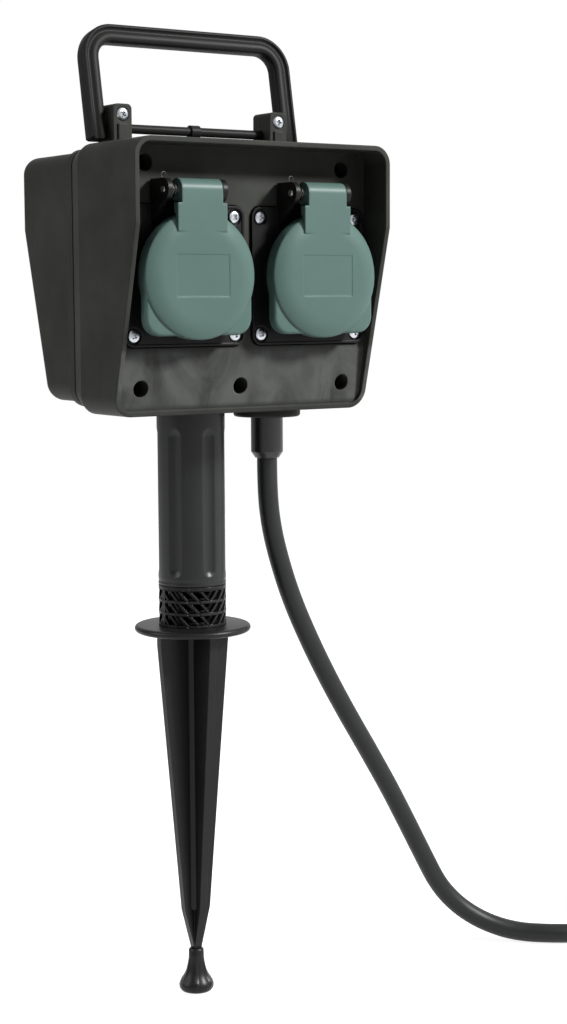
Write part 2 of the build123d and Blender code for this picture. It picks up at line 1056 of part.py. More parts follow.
def hinge_pin(centre):
    with BuildPart() as pin:
        bar_along_x(pin_y, pin_z, pin_radius, centre - pin_left_reach, centre + pin_right_reach)
        chamfer(pin.edges(), length=pin_radius / 5)
    return pin


def lid_spring(centre):
    start_x = centre - barrel_width / 2 - spring_space / 2 - spring_pitch * spring_turns / 2
    coil_plane = Plane(origin=(start_x, pin_y, pin_z), x_dir=(0, 0, 1), z_dir=(1, 0, 0))
    back_reach = pin_forward - plate_proud * 2 - running_gap / 2
    with BuildPart() as spring:
        with BuildLine() as wire_path:
            turns = Helix(
                pitch=spring_pitch, height=spring_pitch * spring_turns, radius=spring_coil_radius
            )
            Line(turns @ 0 - (turns % 0) * back_reach, turns @ 0)
            Line(turns @ 1, turns @ 1 + (turns % 1) * spring_leg_up)
        path = coil_plane.location * wire_path.wires()[0]
        with BuildSketch(Plane(origin=path @ 0, z_dir=path % 0)):
            Circle(spring_wire / 2)
        sweep(path=path)
    return spring


def lid(centre):
    inner_radius = lid_radius - lid_wall
    inner_y = lid_front_y + lid_face_thickness
    crown_run = lid_radius - lid_flat_radius
    crown_radius = (crown_run**2 + lid_crown_drop**2) / (2 * lid_crown_drop)
    with BuildPart() as cover:
        disc_plane = Plane(origin=(centre, 0, socket_level), x_dir=(1, 0, 0), z_dir=(0, 0, 1))
        with BuildSketch(disc_plane) as section:
            with BuildLine():
                Line((0, lid_front_y), (lid_flat_radius, lid_front_y))
                crown_arc = CenterArc(
                    (lid_flat_radius, lid_front_y + crown_radius),
                    crown_radius,
                    -90,
                    degrees(asin(crown_run / crown_radius)),
                )
                Polyline(
                    crown_arc @ 1,
                    (lid_radius, lid_front_y + lid_depth),
                    (inner_radius, lid_front_y + lid_depth),
                    (inner_radius, inner_y + lid_inner_chamfer),
                    (inner_radius - lid_inner_chamfer, inner_y),
                    (0, inner_y),
                    (0, lid_front_y),
                )
            make_face()
            edge_corner = section.vertices().sort_by_distance(
                (lid_radius, lid_front_y + lid_crown_drop, 0)
            )[:1]
            fillet(edge_corner, radius=lid_edge_round)
        revolve(section.sketch, axis=Axis((centre, 0, socket_level), (0, 1, 0)))
        lobe_back = lid_front_y + lobe_setback + lobe_depth
        lobe_foot = socket_level - lobe_drop
        with BuildSketch(Plane.XZ.offset(-lobe_back)) as lobes:
            with BuildLine():
                Polyline(
                    (centre - lobe_reach, socket_level),
                    (centre - lobe_reach, lobe_foot + lobe_corner),
                    (centre - lobe_reach + lobe_corner, lobe_foot),
                    (centre + lobe_reach - lobe_corner, lobe_foot),
                    (centre + lobe_reach, lobe_foot + lobe_corner),
                    (centre + lobe_reach, socket_level),
                    close=True,
                )
            make_face()
            with Locations((centre, socket_level)):
                Circle(inner_radius, mode=Mode.SUBTRACT)
        extrude(lobes.sketch, amount=lobe_depth)
        neck_root = socket_level + lid_flat_radius
        thick_root = socket_level + lid_radius - lid_wall / 2
        neck_back = lid_front_y + neck_thickness
        with BuildSketch(Plane.YZ.offset(centre - barrel_width / 2)) as neck_and_barrel:
            with BuildLine():
                Polyline(
                    (lid_front_y, neck_root),
                    (inner_y, neck_root),
                    (inner_y, thick_root),
                    (neck_back, thick_root),
                    (neck_back, pin_z),
                    (lid_front_y, pin_z),
                    close=True,
                )
            make_face()
            with Locations((pin_y, pin_z)):
                Circle(barrel_radius)
        extrude(neck_and_barrel.sketch, amount=barrel_width)
        profile_across(
            [
                (lid_front_y, neck_root),
                (inner_y, neck_root),
                (inner_y, thick_root),
                (neck_back, thick_root),
                (neck_back, pin_z - neck_shoulder),
                (lid_front_y, pin_z - neck_shoulder),
            ],
            neck_width / 2,
            middle_x=centre,
        )
        bar_along_x(
            pin_y,
            pin_z,
            pin_radius + running_gap,
            centre - barrel_width / 2,
            centre + barrel_width / 2,
            Mode.SUBTRACT,
        )
        with BuildSketch(Plane.XZ.offset(-lid_front_y - label_depth)) as label_field:
            with Locations((centre, socket_level)):
                Rectangle(label_width, label_height)
        extrude(label_field.sketch, amount=overrun, mode=Mode.SUBTRACT)
    return cover


def lid_seal(centre):
    seal_y = lid_front_y + lid_face_thickness
    with BuildPart() as seal:
        bars_along_y(
            [(centre, socket_level)],
            seal_radius + seal_width / 2,
            seal_y,
            seal_y + seal_thickness,
        )
        bars_along_y(
            [(centre, socket_level)],
            seal_radius - seal_width / 2,
            seal_y,
            seal_y + seal_thickness,
            Mode.SUBTRACT,
        )
    return seal


for side_name, centre in (("left", -socket_x), ("right", socket_x)):
    write(socket_body(centre), f"socket_body_{side_name}")
    write(socket_insert(centre), f"socket_insert_{side_name}")
    write(plug_contacts(centre), f"plug_contacts_{side_name}")
    write(earth_bow(centre), f"earth_bow_{side_name}")
    write(flange_gasket(centre), f"flange_gasket_{side_name}")
    write(
        screw_group(
            plate_screw_points(centre),
            plate_screw_seat_y,
            plate_screw_head,
            plate_screw_head_height,
            plate_screw_shank,
            plate_screw_length,
        ),
        f"socket_screws_{side_name}",
    )
    write(hinge_pin(centre), f"hinge_pin_{side_name}")
    write(lid_spring(centre), f"lid_spring_{side_name}")
    write(lid(centre), f"lid_{side_name}")
    write(lid_seal(centre), f"lid_seal_{side_name}")


# Handle: channelled frame and the rod that turns in the lugs

lean = radians(handle_lean)
handle_plane = Plane(
    origin=(0, parting_y, rod_z), x_dir=(1, 0, 0), z_dir=(0, -cos(lean), sin(lean))
)
foot_round = handle_bar / 4


def handle_outline(inset):
    reach = handle_width / 2 - inset
    top = handle_height - inset
    corner = handle_chamfer - inset / 2
    FilletPolyline(
        (-reach, inset - handle_foot),
        (-reach, top - corner),
        (corner - reach, top),
        (reach - corner, top),
        (reach, top - corner),
        (reach, inset - handle_foot),
        radius=[foot_round, handle_round, handle_round, handle_round, handle_round, foot_round],
        close=True,
    )


with BuildPart() as handle:
    with BuildSketch(handle_plane.offset(-handle_depth / 2)) as frame_face:
        with BuildLine():
            handle_outline(0)
        make_face()
        opening_top = handle_height - handle_bar
        opening_height = opening_top + handle_foot + 2 * handle_inner_round
        with Locations((0, opening_top - opening_height / 2)):
            RectangleRounded(
                handle_width - 2 * handle_bar,
                opening_height,
                handle_inner_round,
                mode=Mode.SUBTRACT,
            )
    extrude(frame_face.sketch, amount=handle_depth)
    fillet(handle.faces().filter_by(handle_plane).edges(), radius=handle_edge_round)
    with BuildSketch(handle_plane.offset(handle_depth / 2)) as channel:
        with BuildLine():
            handle_outline(handle_channel_inset)
        make_face()
        with BuildLine():
            handle_outline(handle_channel_inset + handle_channel_width)
        make_face(mode=Mode.SUBTRACT)
        with Locations((0, -handle_foot)):
            Rectangle(handle_width, 2 * handle_foot, mode=Mode.SUBTRACT)
    extrude(channel.sketch, amount=-handle_channel_depth, mode=Mode.SUBTRACT)
    rod_reach = (handle_width - handle_bar) / 2
    bar_along_x(parting_y, rod_z, rod_radius, -rod_reach, rod_reach)
    bar_along_x(parting_y, rod_z, rod_ring_radius, -rod_ring_width / 2, rod_ring_width / 2)
write(handle, "handle")


# Post tube: fluted outside, with a cross hole for the middle screw's boss

with BuildPart() as post_tube:
    upright_bar(0, 0, post_radius, post_bottom, post_top)
    flute_orbit = post_radius + flute_radius - flute_depth
    flute_spots = [
        (flute_orbit * cos(2 * pi * turn / flute_count - pi / 2),
         flute_orbit * sin(2 * pi * turn / flute_count - pi / 2))
        for turn in range(flute_count)
    ]
    with BuildSketch(Plane.XY.offset(flute_bottom)) as flutes:
        with Locations(*flute_spots):
            Circle(flute_radius)
    extrude(flutes.sketch, amount=flute_top - flute_bottom, mode=Mode.SUBTRACT)
    for spot_x, spot_y in flute_spots:
        with Locations((spot_x, spot_y, flute_bottom), (spot_x, spot_y, flute_top)):
            Sphere(flute_radius, mode=Mode.SUBTRACT)
    upright_bar(0, 0, post_radius - post_wall, post_bottom, post_top, Mode.SUBTRACT)
    bars_along_y(
        [(middle_screw_offset, lower_screw_level)],
        screw_boss_radius + seat_gap,
        -post_radius,
        post_radius,
        Mode.SUBTRACT,
    )
write(post_tube, "post_tube")


# Spike: spigot, lattice collar, ground flange and four blades

lattice_height = post_bottom - flange_thickness
row_pitch = (lattice_height - lattice_band) / lattice_rows
row_height = row_pitch - lattice_rib
bar_spacing = lattice_lean * row_pitch
window_half = lattice_radius - lattice_margin
bar_count = int(window_half / bar_spacing) + 1
bars_foot = post_bottom - lattice_band - lattice_rows * row_pitch + lattice_rib
half_bar = lattice_bar * sqrt(1 + lattice_lean**2) / 2


def lattice_windows(face_sign):
    """The openings of one face of the lattice: rows with leaning bars left between."""
    with BuildSketch(Plane.XZ.offset(face_sign * lattice_web / 2)) as windows:
        for row in range(lattice_rows):
            row_middle = post_bottom - lattice_band - row * row_pitch - row_height / 2
            with Locations((0, row_middle)):
                Rectangle(2 * window_half, row_height)
        for half in (-1, 1):
            for step in range(-lattice_rows, bar_count + lattice_rows):
                foot_x = half * max(step, 0) * bar_spacing
                foot_z = bars_foot + max(-step, 0) * row_pitch
                head_x = foot_x + half * lattice_lean * lattice_height
                head_z = foot_z + lattice_height
                with BuildLine():
                    Polyline(
                        (foot_x - half_bar, foot_z),
                        (foot_x + half_bar, foot_z),
                        (head_x + half_bar, head_z),
                        (head_x - half_bar, head_z),
                        close=True,
                    )
                make_face(mode=Mode.SUBTRACT)
    extrude(windows.sketch, amount=face_sign * lattice_radius, mode=Mode.SUBTRACT)


with BuildPart() as spike:
    upright_bar(0, 0, lattice_radius, flange_thickness / 2, post_bottom)
    lattice_windows(1)
    lattice_windows(-1)
    upright_bar(
        0,
        0,
        post_radius - post_wall - running_gap,
        post_bottom,
        post_bottom + spigot_height,
    )
    upright_bar(
        0,
        0,
        post_radius - post_wall - spigot_wall,
        post_bottom,
        post_bottom + spigot_height,
        Mode.SUBTRACT,
    )
    with BuildSketch(Plane.XZ) as flange_section:
        with BuildLine():
            Polyline(
                (0, 0),
                (flange_radius - flange_thickness / 2, 0),
            )
            ThreePointArc(
                (flange_radius - flange_thickness / 2, 0),
                (flange_radius, flange_thickness / 2),
                (flange_radius - flange_thickness / 2, flange_thickness),
            )
            Polyline(
                (flange_radius - flange_thickness / 2, flange_thickness),
                (0, flange_thickness),
                (0, 0),
            )
        make_face()
    revolve(flange_section.sketch, axis=Axis.Z)
    for blade_plane in (Plane.XZ, Plane.YZ):
        with BuildSketch(blade_plane) as blade:
            with BuildLine():
                Polyline(
                    (-blade_span / 2, flange_thickness / 2),
                    (blade_span / 2, flange_thickness / 2),
                    (blade_span / 2, -blade_shoulder),
                    (blade_taper_span / 2, -blade_taper_end),
                    (point_span / 2, -point_level + blade_shoulder),
                    (-point_span / 2, -point_level + blade_shoulder),
                    (-blade_taper_span / 2, -blade_taper_end),
                    (-blade_span / 2, -blade_shoulder),
                    close=True,
                )
            make_face()
        extrude(blade.sketch, amount=blade_thickness / 2, both=True)
    upright_bar(0, 0, blade_core, -blade_taper_end, 0)
    with BuildSketch(Plane.XZ) as point:
        with BuildLine():
            Polyline(
                (0, blade_shoulder - point_level),
                (point_span / 2, blade_shoulder - point_level),
                (point_span / 2, -point_level),
                (0, -point_level - point_span),
                close=True,
            )
        make_face()
    revolve(point.sketch, axis=Axis.Z)
write(spike, "spike")


# Tip guard: sleeve, fins and foot, pushed on the point

with BuildPart() as tip_guard:
    sleeve_top = -point_level + blade_shoulder - running_gap
    upright_bar(0, 0, guard_sleeve_radius, -foot_level + guard_base_thickness / 2, sleeve_top)
    with BuildSketch(Plane.XZ) as base_section:
        with BuildLine():
            Polyline(
                (0, -foot_level),
                (guard_base_radius - guard_base_round, -foot_level),
                (guard_base_radius, -foot_level + guard_base_round),
                (guard_base_radius, -foot_level + guard_base_thickness - guard_base_round),
                (guard_base_radius - guard_base_round, -foot_level + guard_base_thickness),
                (0, -foot_level + guard_base_thickness),
                close=True,
            )
        make_face()
    revolve(base_section.sketch, axis=Axis.Z)
    for fin_plane in (Plane.XZ, Plane.YZ):
        with BuildSketch(fin_plane) as fin:
            with BuildLine():
                Polyline(
                    (-guard_fin_foot, -foot_level + guard_base_thickness / 2),
                    (guard_fin_foot, -foot_level + guard_base_thickness / 2),
                    (guard_fin_foot, -foot_level + guard_base_thickness),
                    (guard_sleeve_radius, sleeve_top - guard_sleeve_length),
                    (-guard_sleeve_radius, sleeve_top - guard_sleeve_length),
                    (-guard_fin_foot, -foot_level + guard_base_thickness),
                    close=True,
                )
            make_face()
        extrude(fin.sketch, amount=guard_fin_thickness / 2, both=True)
    upright_bar(
        0,
        0,
        point_span / 2 + running_gap,
        sleeve_top - guard_bore_depth - point_span / 2,
        sleeve_top,
        Mode.SUBTRACT,
    )
write(tip_guard, "tip_guard")


# Cable entry: gland ring, strain relief, end of the sheath and its clamp

ring_bottom = shell_bottom - gland_ring_height
relief_shelf = rear_bottom + shell_wall + seat_gap
relief_top = relief_shelf + relief_flange_thickness + relief_stub

with BuildPart() as cable_gland:
    upright_bar(gland_x, gland_y, gland_ring_radius, ring_bottom, shell_bottom)
    fillet(cable_gland.edges().group_by(Axis.Z)[0], radius=gland_ring_round)
    upright_bar(
        gland_x, gland_y, relief_radius + running_gap, ring_bottom, shell_bottom, Mode.SUBTRACT
    )
write(cable_gland, "cable_gland")

with BuildPart() as strain_relief:
    relief_plane = Plane(origin=(gland_x, gland_y, 0), x_dir=(1, 0, 0), z_dir=(0, -1, 0))
    with BuildSketch(relief_plane) as relief_section:
        with BuildLine():
            Polyline(
                (0, relief_tip_z),
                (relief_tip_radius, relief_tip_z),
                (relief_radius, relief_tip_z + relief_cone),
                (relief_radius, relief_shelf),
                (relief_flange_radius, relief_shelf),
                (relief_flange_radius, relief_shelf + relief_flange_thickness),
                (relief_radius, relief_shelf + relief_flange_thickness),
                (relief_radius, relief_top),
                (0, relief_top),
                close=True,
            )
        make_face()
    revolve(relief_section.sketch, axis=Axis((gland_x, gland_y, 0), (0, 0, 1)))
write(strain_relief, "strain_relief")

with BuildPart() as sheath_end:
    upright_bar(
        gland_x, gland_y, cable_diameter / 2, relief_top, relief_top + sheath_end_length
    )
write(sheath_end, "sheath_end")

with BuildPart() as cord_clamp:
    clamp_back = gland_y + cable_diameter / 4
    clamp_front = gland_y - cable_diameter / 2 - clamp_thickness
    with BuildSketch(Plane.XY.offset(clamp_z - clamp_height / 2)) as saddle:
        with Locations((gland_x, (clamp_back + clamp_front) / 2)):
            Rectangle(clamp_width, clamp_back - clamp_front)
        with Locations((gland_x, gland_y)):
            Circle(cable_diameter / 2 + running_gap, mode=Mode.SUBTRACT)
        with Locations((gland_x, gland_y + cable_diameter / 2)):
            Rectangle(
                cable_diameter + 2 * running_gap, cable_diameter, mode=Mode.SUBTRACT
            )
    extrude(saddle.sketch, amount=clamp_height)
    bars_along_y(
        clamp_points, clamp_screw_shank + seat_gap, clamp_front, clamp_back, Mode.SUBTRACT
    )
write(cord_clamp, "cord_clamp")

clamp_screws = screw_group(
    clamp_points,
    clamp_front,
    clamp_screw_head,
    clamp_screw_head_height,
    clamp_screw_shank,
    clamp_back - clamp_front + clamp_height,
)
write(clamp_screws, "clamp_screws")


# Wires: a feed to the right socket and a link to the left one for each core

contact_back_y = well_floor_y + pin_hole_front + contact_gap + contact_length
core_top = relief_top + sheath_end_length
core_offset = cable_diameter / 4
landing = contact_radius / 2
near_x = socket_x - pin_hole_spacing / 2
far_x = socket_x + pin_hole_spacing / 2
upper_z = socket_level + landing
lower_z = socket_level - landing

live_x = gland_x + core_offset
neutral_x = gland_x - core_offset
core_y = gland_y - core_offset / 2
earth_y = gland_y + core_offset

wire_routes = {
    "wire_live": [
        [
            (live_x, core_y, core_top),
            (live_x, core_y, wire_rise_level),
            (far_x, core_y, upper_z),
            (far_x, contact_back_y, upper_z),
        ],
        [
            (far_x, contact_back_y, lower_z),
            (far_x, live_link_y, lower_z),
            (-near_x, live_link_y, lower_z),
            (-near_x, contact_back_y, lower_z),
        ],
    ],
    "wire_neutral": [
        [
            (neutral_x, core_y, core_top),
            (neutral_x, core_y, wire_rise_level),
            (near_x, core_y, upper_z),
            (near_x, contact_back_y, upper_z),
        ],
        [
            (near_x, contact_back_y, lower_z),
            (near_x, neutral_turn_y, lower_z),
            *neutral_dip,
            (-far_x, neutral_turn_y, lower_z),
            (-far_x, contact_back_y, lower_z),
        ],
    ],
    "wire_earth": [
        [
            (gland_x, earth_y, core_top),
            (gland_x, earth_y, wire_rise_level),
            (socket_x, earth_y, earth_feed_level),
            (socket_x, earth_back_y, earth_feed_level),
        ],
        [
            (socket_x, earth_back_y, earth_link_level),
            (socket_x, earth_turn_y, earth_link_level),
            *earth_dip,
            (-socket_x, earth_turn_y, earth_link_level),
            (-socket_x, earth_back_y, earth_link_level),
        ],
    ],
}


def bend_radii(points):
    """The largest arc that the two runs at each corner leave room for."""
    radii = []
    for before, here, after in zip(points, points[1:], points[2:]):
        run_in = Vector(*here) - Vector(*before)
        run_out = Vector(*after) - Vector(*here)
        half_turn = radians(run_in.get_angle(run_out)) / 2
        radii.append(0.45 * min(run_in.length, run_out.length) / tan(half_turn))
    return radii


def tube_along(points, radius):
    """A round tube on straight runs joined by tangent arcs, and its length."""
    radii = bend_radii(points)
    with BuildPart() as tube:
        with BuildLine() as run:
            FilletPolyline(*points, radius=radii)
        path = run.wires()[0]
        with BuildSketch(Plane(origin=path @ 0, z_dir=path % 0)):
            Circle(radius)
        sweep(path=path)
    return tube, path.length, radii


for wire_name, (feed, link) in wire_routes.items():
    feed_tube = tube_along(feed, wire_radius)[0]
    link_tube = tube_along(link, wire_radius)[0]
    with BuildPart() as wires:
        add(feed_tube.part)
        add(link_tube.part)
    write(wires, wire_name)


# The free cord: lead, coil and tail

def report_tube(name, tube, length, radius, tightest):
    share = tube.part.volume / (pi * radius**2 * length)
    print(f"{name}: length {length:.1f}, tightest radius {tightest:.1f}, volume share {share:.5f}")


heading = Vector(cos(radians(coil_heading)), sin(radians(coil_heading)), 0)
spiral_rate = coil_pitch / (2 * pi)
start_angle = radians(coil_heading) - pi / 2 - spiral_rate / coil_radius
coil_entry = Vector(*cable_route[-1]) + heading * lead_in
spiral_start = coil_entry + heading * cable_diameter
coil_centre = spiral_start - Vector(cos(start_angle), sin(start_angle), 0) * coil_radius
layer_rise = cable_diameter + coil_layer_gap
quarter_step = coil_pitch / 4

lead_points = [*cable_route, tuple(coil_entry)]
cable_lead, lead_length, lead_radii = tube_along(lead_points, cable_diameter / 2)
report_tube("cable_lead", cable_lead, lead_length, cable_diameter / 2, min(lead_radii))
write(cable_lead, "cable_lead")


def coil_stations():
    """Points and headings of the coil, a quarter turn apart."""
    stations = []
    quarters = inward_quarter_count + climb_quarter_count + outward_quarter_count
    for quarter in range(quarters + 1):
        climbed = min(max(quarter - inward_quarter_count, 0), climb_quarter_count)
        going_out = max(quarter - inward_quarter_count - climb_quarter_count, 0)
        going_in = min(quarter, inward_quarter_count)
        radius = coil_radius - quarter_step * (going_in - going_out)
        rate = -spiral_rate if quarter <= inward_quarter_count else spiral_rate
        slope = 0.0
        if 0 < climbed < climb_quarter_count:
            rate = 0.0
            radius -= quarter_step / 2
            slope = layer_rise / (pi * radius) * 1.5
        angle = start_angle + quarter * pi / 2
        outward = Vector(cos(angle), sin(angle), 0)
        along = Vector(-sin(angle), cos(angle), 0)
        place = coil_centre + outward * radius
        place += Vector(0, 0, layer_rise * climbed / climb_quarter_count)
        direction = (outward * rate + along * radius).normalized() + Vector(0, 0, slope)
        stations.append((place, direction.normalized()))
    return stations


def biarc(place_a, heading_a, place_b, heading_b):
    """Two arcs that leave one point and reach the next along their headings."""
    gap = place_b - place_a
    turn_sum = heading_a + heading_b
    spread = 2 * (1 - heading_a.dot(heading_b))
    reach = (-gap.dot(turn_sum) + sqrt(gap.dot(turn_sum) ** 2 + spread * gap.dot(gap))) / spread
    corner_a = place_a + heading_a * reach
    corner_b = place_b - heading_b * reach
    joint = (corner_a + corner_b) / 2
    TangentArc(place_a, joint, tangent=heading_a)
    TangentArc(joint, place_b, tangent=corner_b - corner_a)


def least_self_gap(path, diameter, steps=900):
    """The least clear space between two turns of a wound tube."""
    places = [path @ (step / steps) for step in range(steps + 1)]
    skip = int(steps * 4 * diameter / path.length)
    least = None
    for first in range(len(places)):
        for second in range(first + skip, len(places)):
            apart = (places[first] - places[second]).length
            if least is None or apart < least:
                least = apart
    return least - diameter


stations = coil_stations()
with BuildPart() as cable_coil:
    with BuildLine() as coil_run:
        Line(coil_entry, spiral_start)
        for (place_a, heading_a), (place_b, heading_b) in zip(stations, stations[1:]):
            biarc(place_a, heading_a, place_b, heading_b)
        coil_exit = stations[-1][0] + stations[-1][1] * cable_diameter
        Line(stations[-1][0], coil_exit)
    coil_path = coil_run.wires()[0]
    with BuildSketch(Plane(origin=coil_entry, z_dir=heading)):
        Circle(cable_diameter / 2)
    sweep(path=coil_path)
tightest_turn = coil_radius - quarter_step * inward_quarter_count - quarter_step / 2
report_tube("cable_coil", cable_coil, coil_path.length, cable_diameter / 2, tightest_turn)
print(f"least gap between turns {least_self_gap(coil_path, cable_diameter):.2f}")
write(cable_coil, "cable_coil")

tail_heading = stations[-1][1]
plug_lift = Vector(0, 0, plug_radius - foot_level - coil_exit.Z)
tail_route = [
    tuple(coil_exit),
    tuple(coil_exit + tail_heading * tail_end_run),
    tuple(coil_exit + tail_heading * (tail_end_run + tail_lift_run) + plug_lift),
    tuple(coil_exit + tail_heading * (2 * tail_end_run + tail_lift_run) + plug_lift),
]
cable_tail, tail_length, tail_radii = tube_along(tail_route, cable_diameter / 2)
report_tube("cable_tail", cable_tail, tail_length, cable_diameter / 2, min(tail_radii))
print(f"whole cord {lead_length + coil_path.length + tail_length:.0f}")
write(cable_tail, "cable_tail")


# Plug: moulded body, pins and earth strips

plug_origin = Vector(*tail_route[-1])
plug_axis = Axis(plug_origin, tail_heading)
plug_side = tail_heading.cross(Vector(0, 0, 1))
plug_plane = Plane(origin=plug_origin, x_dir=tail_heading, z_dir=plug_side)
plug_face_plane = Plane(
    origin=plug_origin + tail_heading * (plug_neck_length + plug_body_length),
    x_dir=plug_side,
    z_dir=tail_heading,
)
pin_spots = [(-plug_pin_spacing / 2, 0), (plug_pin_spacing / 2, 0)]

with BuildPart() as plug_body:
    with BuildSketch(plug_plane) as plug_section:
        with BuildLine():
            Polyline(
                (0, 0),
                (0, plug_neck_radius),
                (plug_neck_length, plug_back_radius),
                (plug_neck_length + plug_body_length - plug_front_length, plug_radius),
                (plug_neck_length + plug_body_length, plug_radius),
                (plug_neck_length + plug_body_length, 0),
                close=True,
            )
        make_face()
    revolve(plug_section.sketch, axis=plug_axis)
    with BuildSketch(plug_face_plane) as strip_grooves:
        with Locations((0, plug_radius), (0, -plug_radius)):
            Rectangle(plug_earth_width + 2 * seat_gap, 4 * plug_earth_thickness)
    extrude(strip_grooves.sketch, amount=-plug_earth_length, mode=Mode.SUBTRACT)
write(plug_body, "plug_body")

with BuildPart() as plug_pins:
    with BuildSketch(plug_face_plane) as pin_feet:
        with Locations(*pin_spots):
            Circle(plug_pin_radius)
    extrude(pin_feet.sketch, amount=plug_pin_length)
    pin_tips = plug_pins.faces().sort_by(plug_axis)[-2:]
    chamfer(pin_tips.edges(), length=plug_pin_radius / 3)
write(plug_pins, "plug_pins")

with BuildPart() as plug_earth_strips:
    strip_level = plug_radius - 2 * plug_earth_thickness + plug_earth_thickness / 2
    with BuildSketch(plug_face_plane) as strip_ends:
        with Locations((0, strip_level), (0, -strip_level)):
            Rectangle(plug_earth_width, plug_earth_thickness)
    extrude(strip_ends.sketch, amount=-plug_earth_length)
write(plug_earth_strips, "plug_earth_strips")
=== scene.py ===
"""Looks for the garden socket post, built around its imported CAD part.

Metres. The frame is the part's own: +Z up, sockets facing -Y, and the origin
at the centre of the ground flange's underside.
"""

import json
from math import cos, pi, radians, sin, sqrt

import bmesh
import bpy
from mathutils import Matrix, Vector


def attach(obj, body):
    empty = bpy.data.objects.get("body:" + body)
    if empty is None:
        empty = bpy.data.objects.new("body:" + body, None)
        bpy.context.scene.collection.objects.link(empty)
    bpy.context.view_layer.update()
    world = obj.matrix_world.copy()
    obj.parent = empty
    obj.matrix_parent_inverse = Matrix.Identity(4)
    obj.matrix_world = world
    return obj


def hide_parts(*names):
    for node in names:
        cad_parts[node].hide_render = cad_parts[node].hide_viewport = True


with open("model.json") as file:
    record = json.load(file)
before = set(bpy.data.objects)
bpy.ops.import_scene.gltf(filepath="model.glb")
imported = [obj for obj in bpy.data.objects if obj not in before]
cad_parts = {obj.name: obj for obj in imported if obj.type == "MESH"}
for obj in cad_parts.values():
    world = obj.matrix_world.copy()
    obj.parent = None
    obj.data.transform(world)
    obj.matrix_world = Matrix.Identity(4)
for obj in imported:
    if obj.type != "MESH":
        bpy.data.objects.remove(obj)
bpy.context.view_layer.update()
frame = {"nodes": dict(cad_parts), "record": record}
nodes = frame["nodes"]

mm = 0.001


# Camera, found from the photograph's edges and circles

camera_place = (-426.8 * mm, -708.1 * mm, 142.9 * mm)
camera_yaw = radians(-33.81)
camera_pitch = radians(6.34)
camera_roll = radians(-0.31)
photo_height_px = 1024
focal_length_px = 1938.8
sensor_height_mm = 24.0

forward = Vector(
    (
        -sin(camera_yaw) * cos(camera_pitch),
        cos(camera_yaw) * cos(camera_pitch),
        -sin(camera_pitch),
    )
)
level_right = Vector((cos(camera_yaw), sin(camera_yaw), 0))
level_up = level_right.cross(forward)
camera_right = cos(camera_roll) * level_right + sin(camera_roll) * level_up
camera_up = cos(camera_roll) * level_up - sin(camera_roll) * level_right

camera_data = bpy.data.cameras.new("camera")
camera_data.sensor_fit = "VERTICAL"
camera_data.sensor_height = sensor_height_mm
camera_data.lens = focal_length_px / photo_height_px * sensor_height_mm
camera_data.clip_start = 0.01
camera_data.clip_end = 50
camera = bpy.data.objects.new("camera", camera_data)
turn = Matrix((camera_right, camera_up, -forward)).transposed()
camera.matrix_world = Matrix.Translation(camera_place) @ turn.to_4x4()
bpy.context.scene.collection.objects.link(camera)
bpy.context.scene.camera = camera
bpy.context.scene.view_settings.view_transform = "Standard"


# The cord: the CAD route's points, then the coil's turns and the tail

cord_diameter = 8.8 * mm
floor_level = -160.3 * mm
cord_level = floor_level + cord_diameter / 2
gland_x = 35.6 * mm
parting_y = -5.0 * mm
relief_tip = 73.4 * mm
route = [
    (gland_x, parting_y, relief_tip),
    (gland_x, parting_y, 58.5 * mm),
    (37.4 * mm, -5.2 * mm, 43.0 * mm),
    (41.3 * mm, -5.5 * mm, 28.0 * mm),
    (47.0 * mm, -5.9 * mm, 11.5 * mm),
    (54.4 * mm, -6.5 * mm, -5.0 * mm),
    (64.0 * mm, -7.0 * mm, -23.5 * mm),
    (75.2 * mm, -7.7 * mm, -43.0 * mm),
    (87.4 * mm, -8.4 * mm, -62.6 * mm),
    (99.2 * mm, -9.1 * mm, -82.2 * mm),
    (109.4 * mm, -9.8 * mm, -100.8 * mm),
    (118.4 * mm, -10.5 * mm, -117.6 * mm),
    (126.6 * mm, -11.1 * mm, -132.5 * mm),
    (136.0 * mm, -14.9 * mm, -143.7 * mm),
    (146.9 * mm, -21.6 * mm, -151.7 * mm),
    (158.3 * mm, -30.6 * mm, cord_level),
    (170.5 * mm, -42.4 * mm, cord_level),
    (184.2 * mm, -50.7 * mm, cord_level),
    (198.7 * mm, -59.2 * mm, cord_level),
    (213.9 * mm, -67.5 * mm, cord_level),
]
lead_in = 16.0 * mm
coil_heading = radians(-28.0)
coil_radius = 52.0 * mm
coil_pitch = 9.5 * mm
coil_layer_gap = 0.5 * mm
coil_quarters_in = 6
coil_quarters_out = 5
coil_climb_quarters = 2
coil_points_per_quarter = 6
tail_end_run = 11.5 * mm
tail_lift_run = 21.5 * mm
plug_radius = 18.5 * mm

heading = Vector((cos(coil_heading), sin(coil_heading), 0))
spiral_rate = coil_pitch / (2 * pi)
start_angle = coil_heading - pi / 2 - spiral_rate / coil_radius
coil_entry = Vector(route[-1]) + heading * lead_in
coil_start = coil_entry + heading * cord_diameter
coil_centre = coil_start - Vector((cos(start_angle), sin(start_angle), 0)) * coil_radius
layer_rise = cord_diameter + coil_layer_gap
reverse_start = float(coil_quarters_in)
reverse_end = float(coil_quarters_in + coil_climb_quarters)
last_quarter = reverse_end + coil_quarters_out


def coil_point(quarter):
    """A point of the coil, counted in quarter turns from its start."""
    wound_in = min(quarter, reverse_start)
    wound_out = max(quarter - reverse_end, 0)
    climbed = min(max(quarter - reverse_start, 0), reverse_end - reverse_start)
    share = climbed / (reverse_end - reverse_start)
    radius = coil_radius - coil_pitch / 4 * (wound_in - wound_out + sin(pi * share) / 2)
    angle = start_angle + quarter * pi / 2
    rise = layer_rise * (1 - cos(pi * share)) / 2
    return coil_centre + Vector((cos(angle) * radius, sin(angle) * radius, rise))


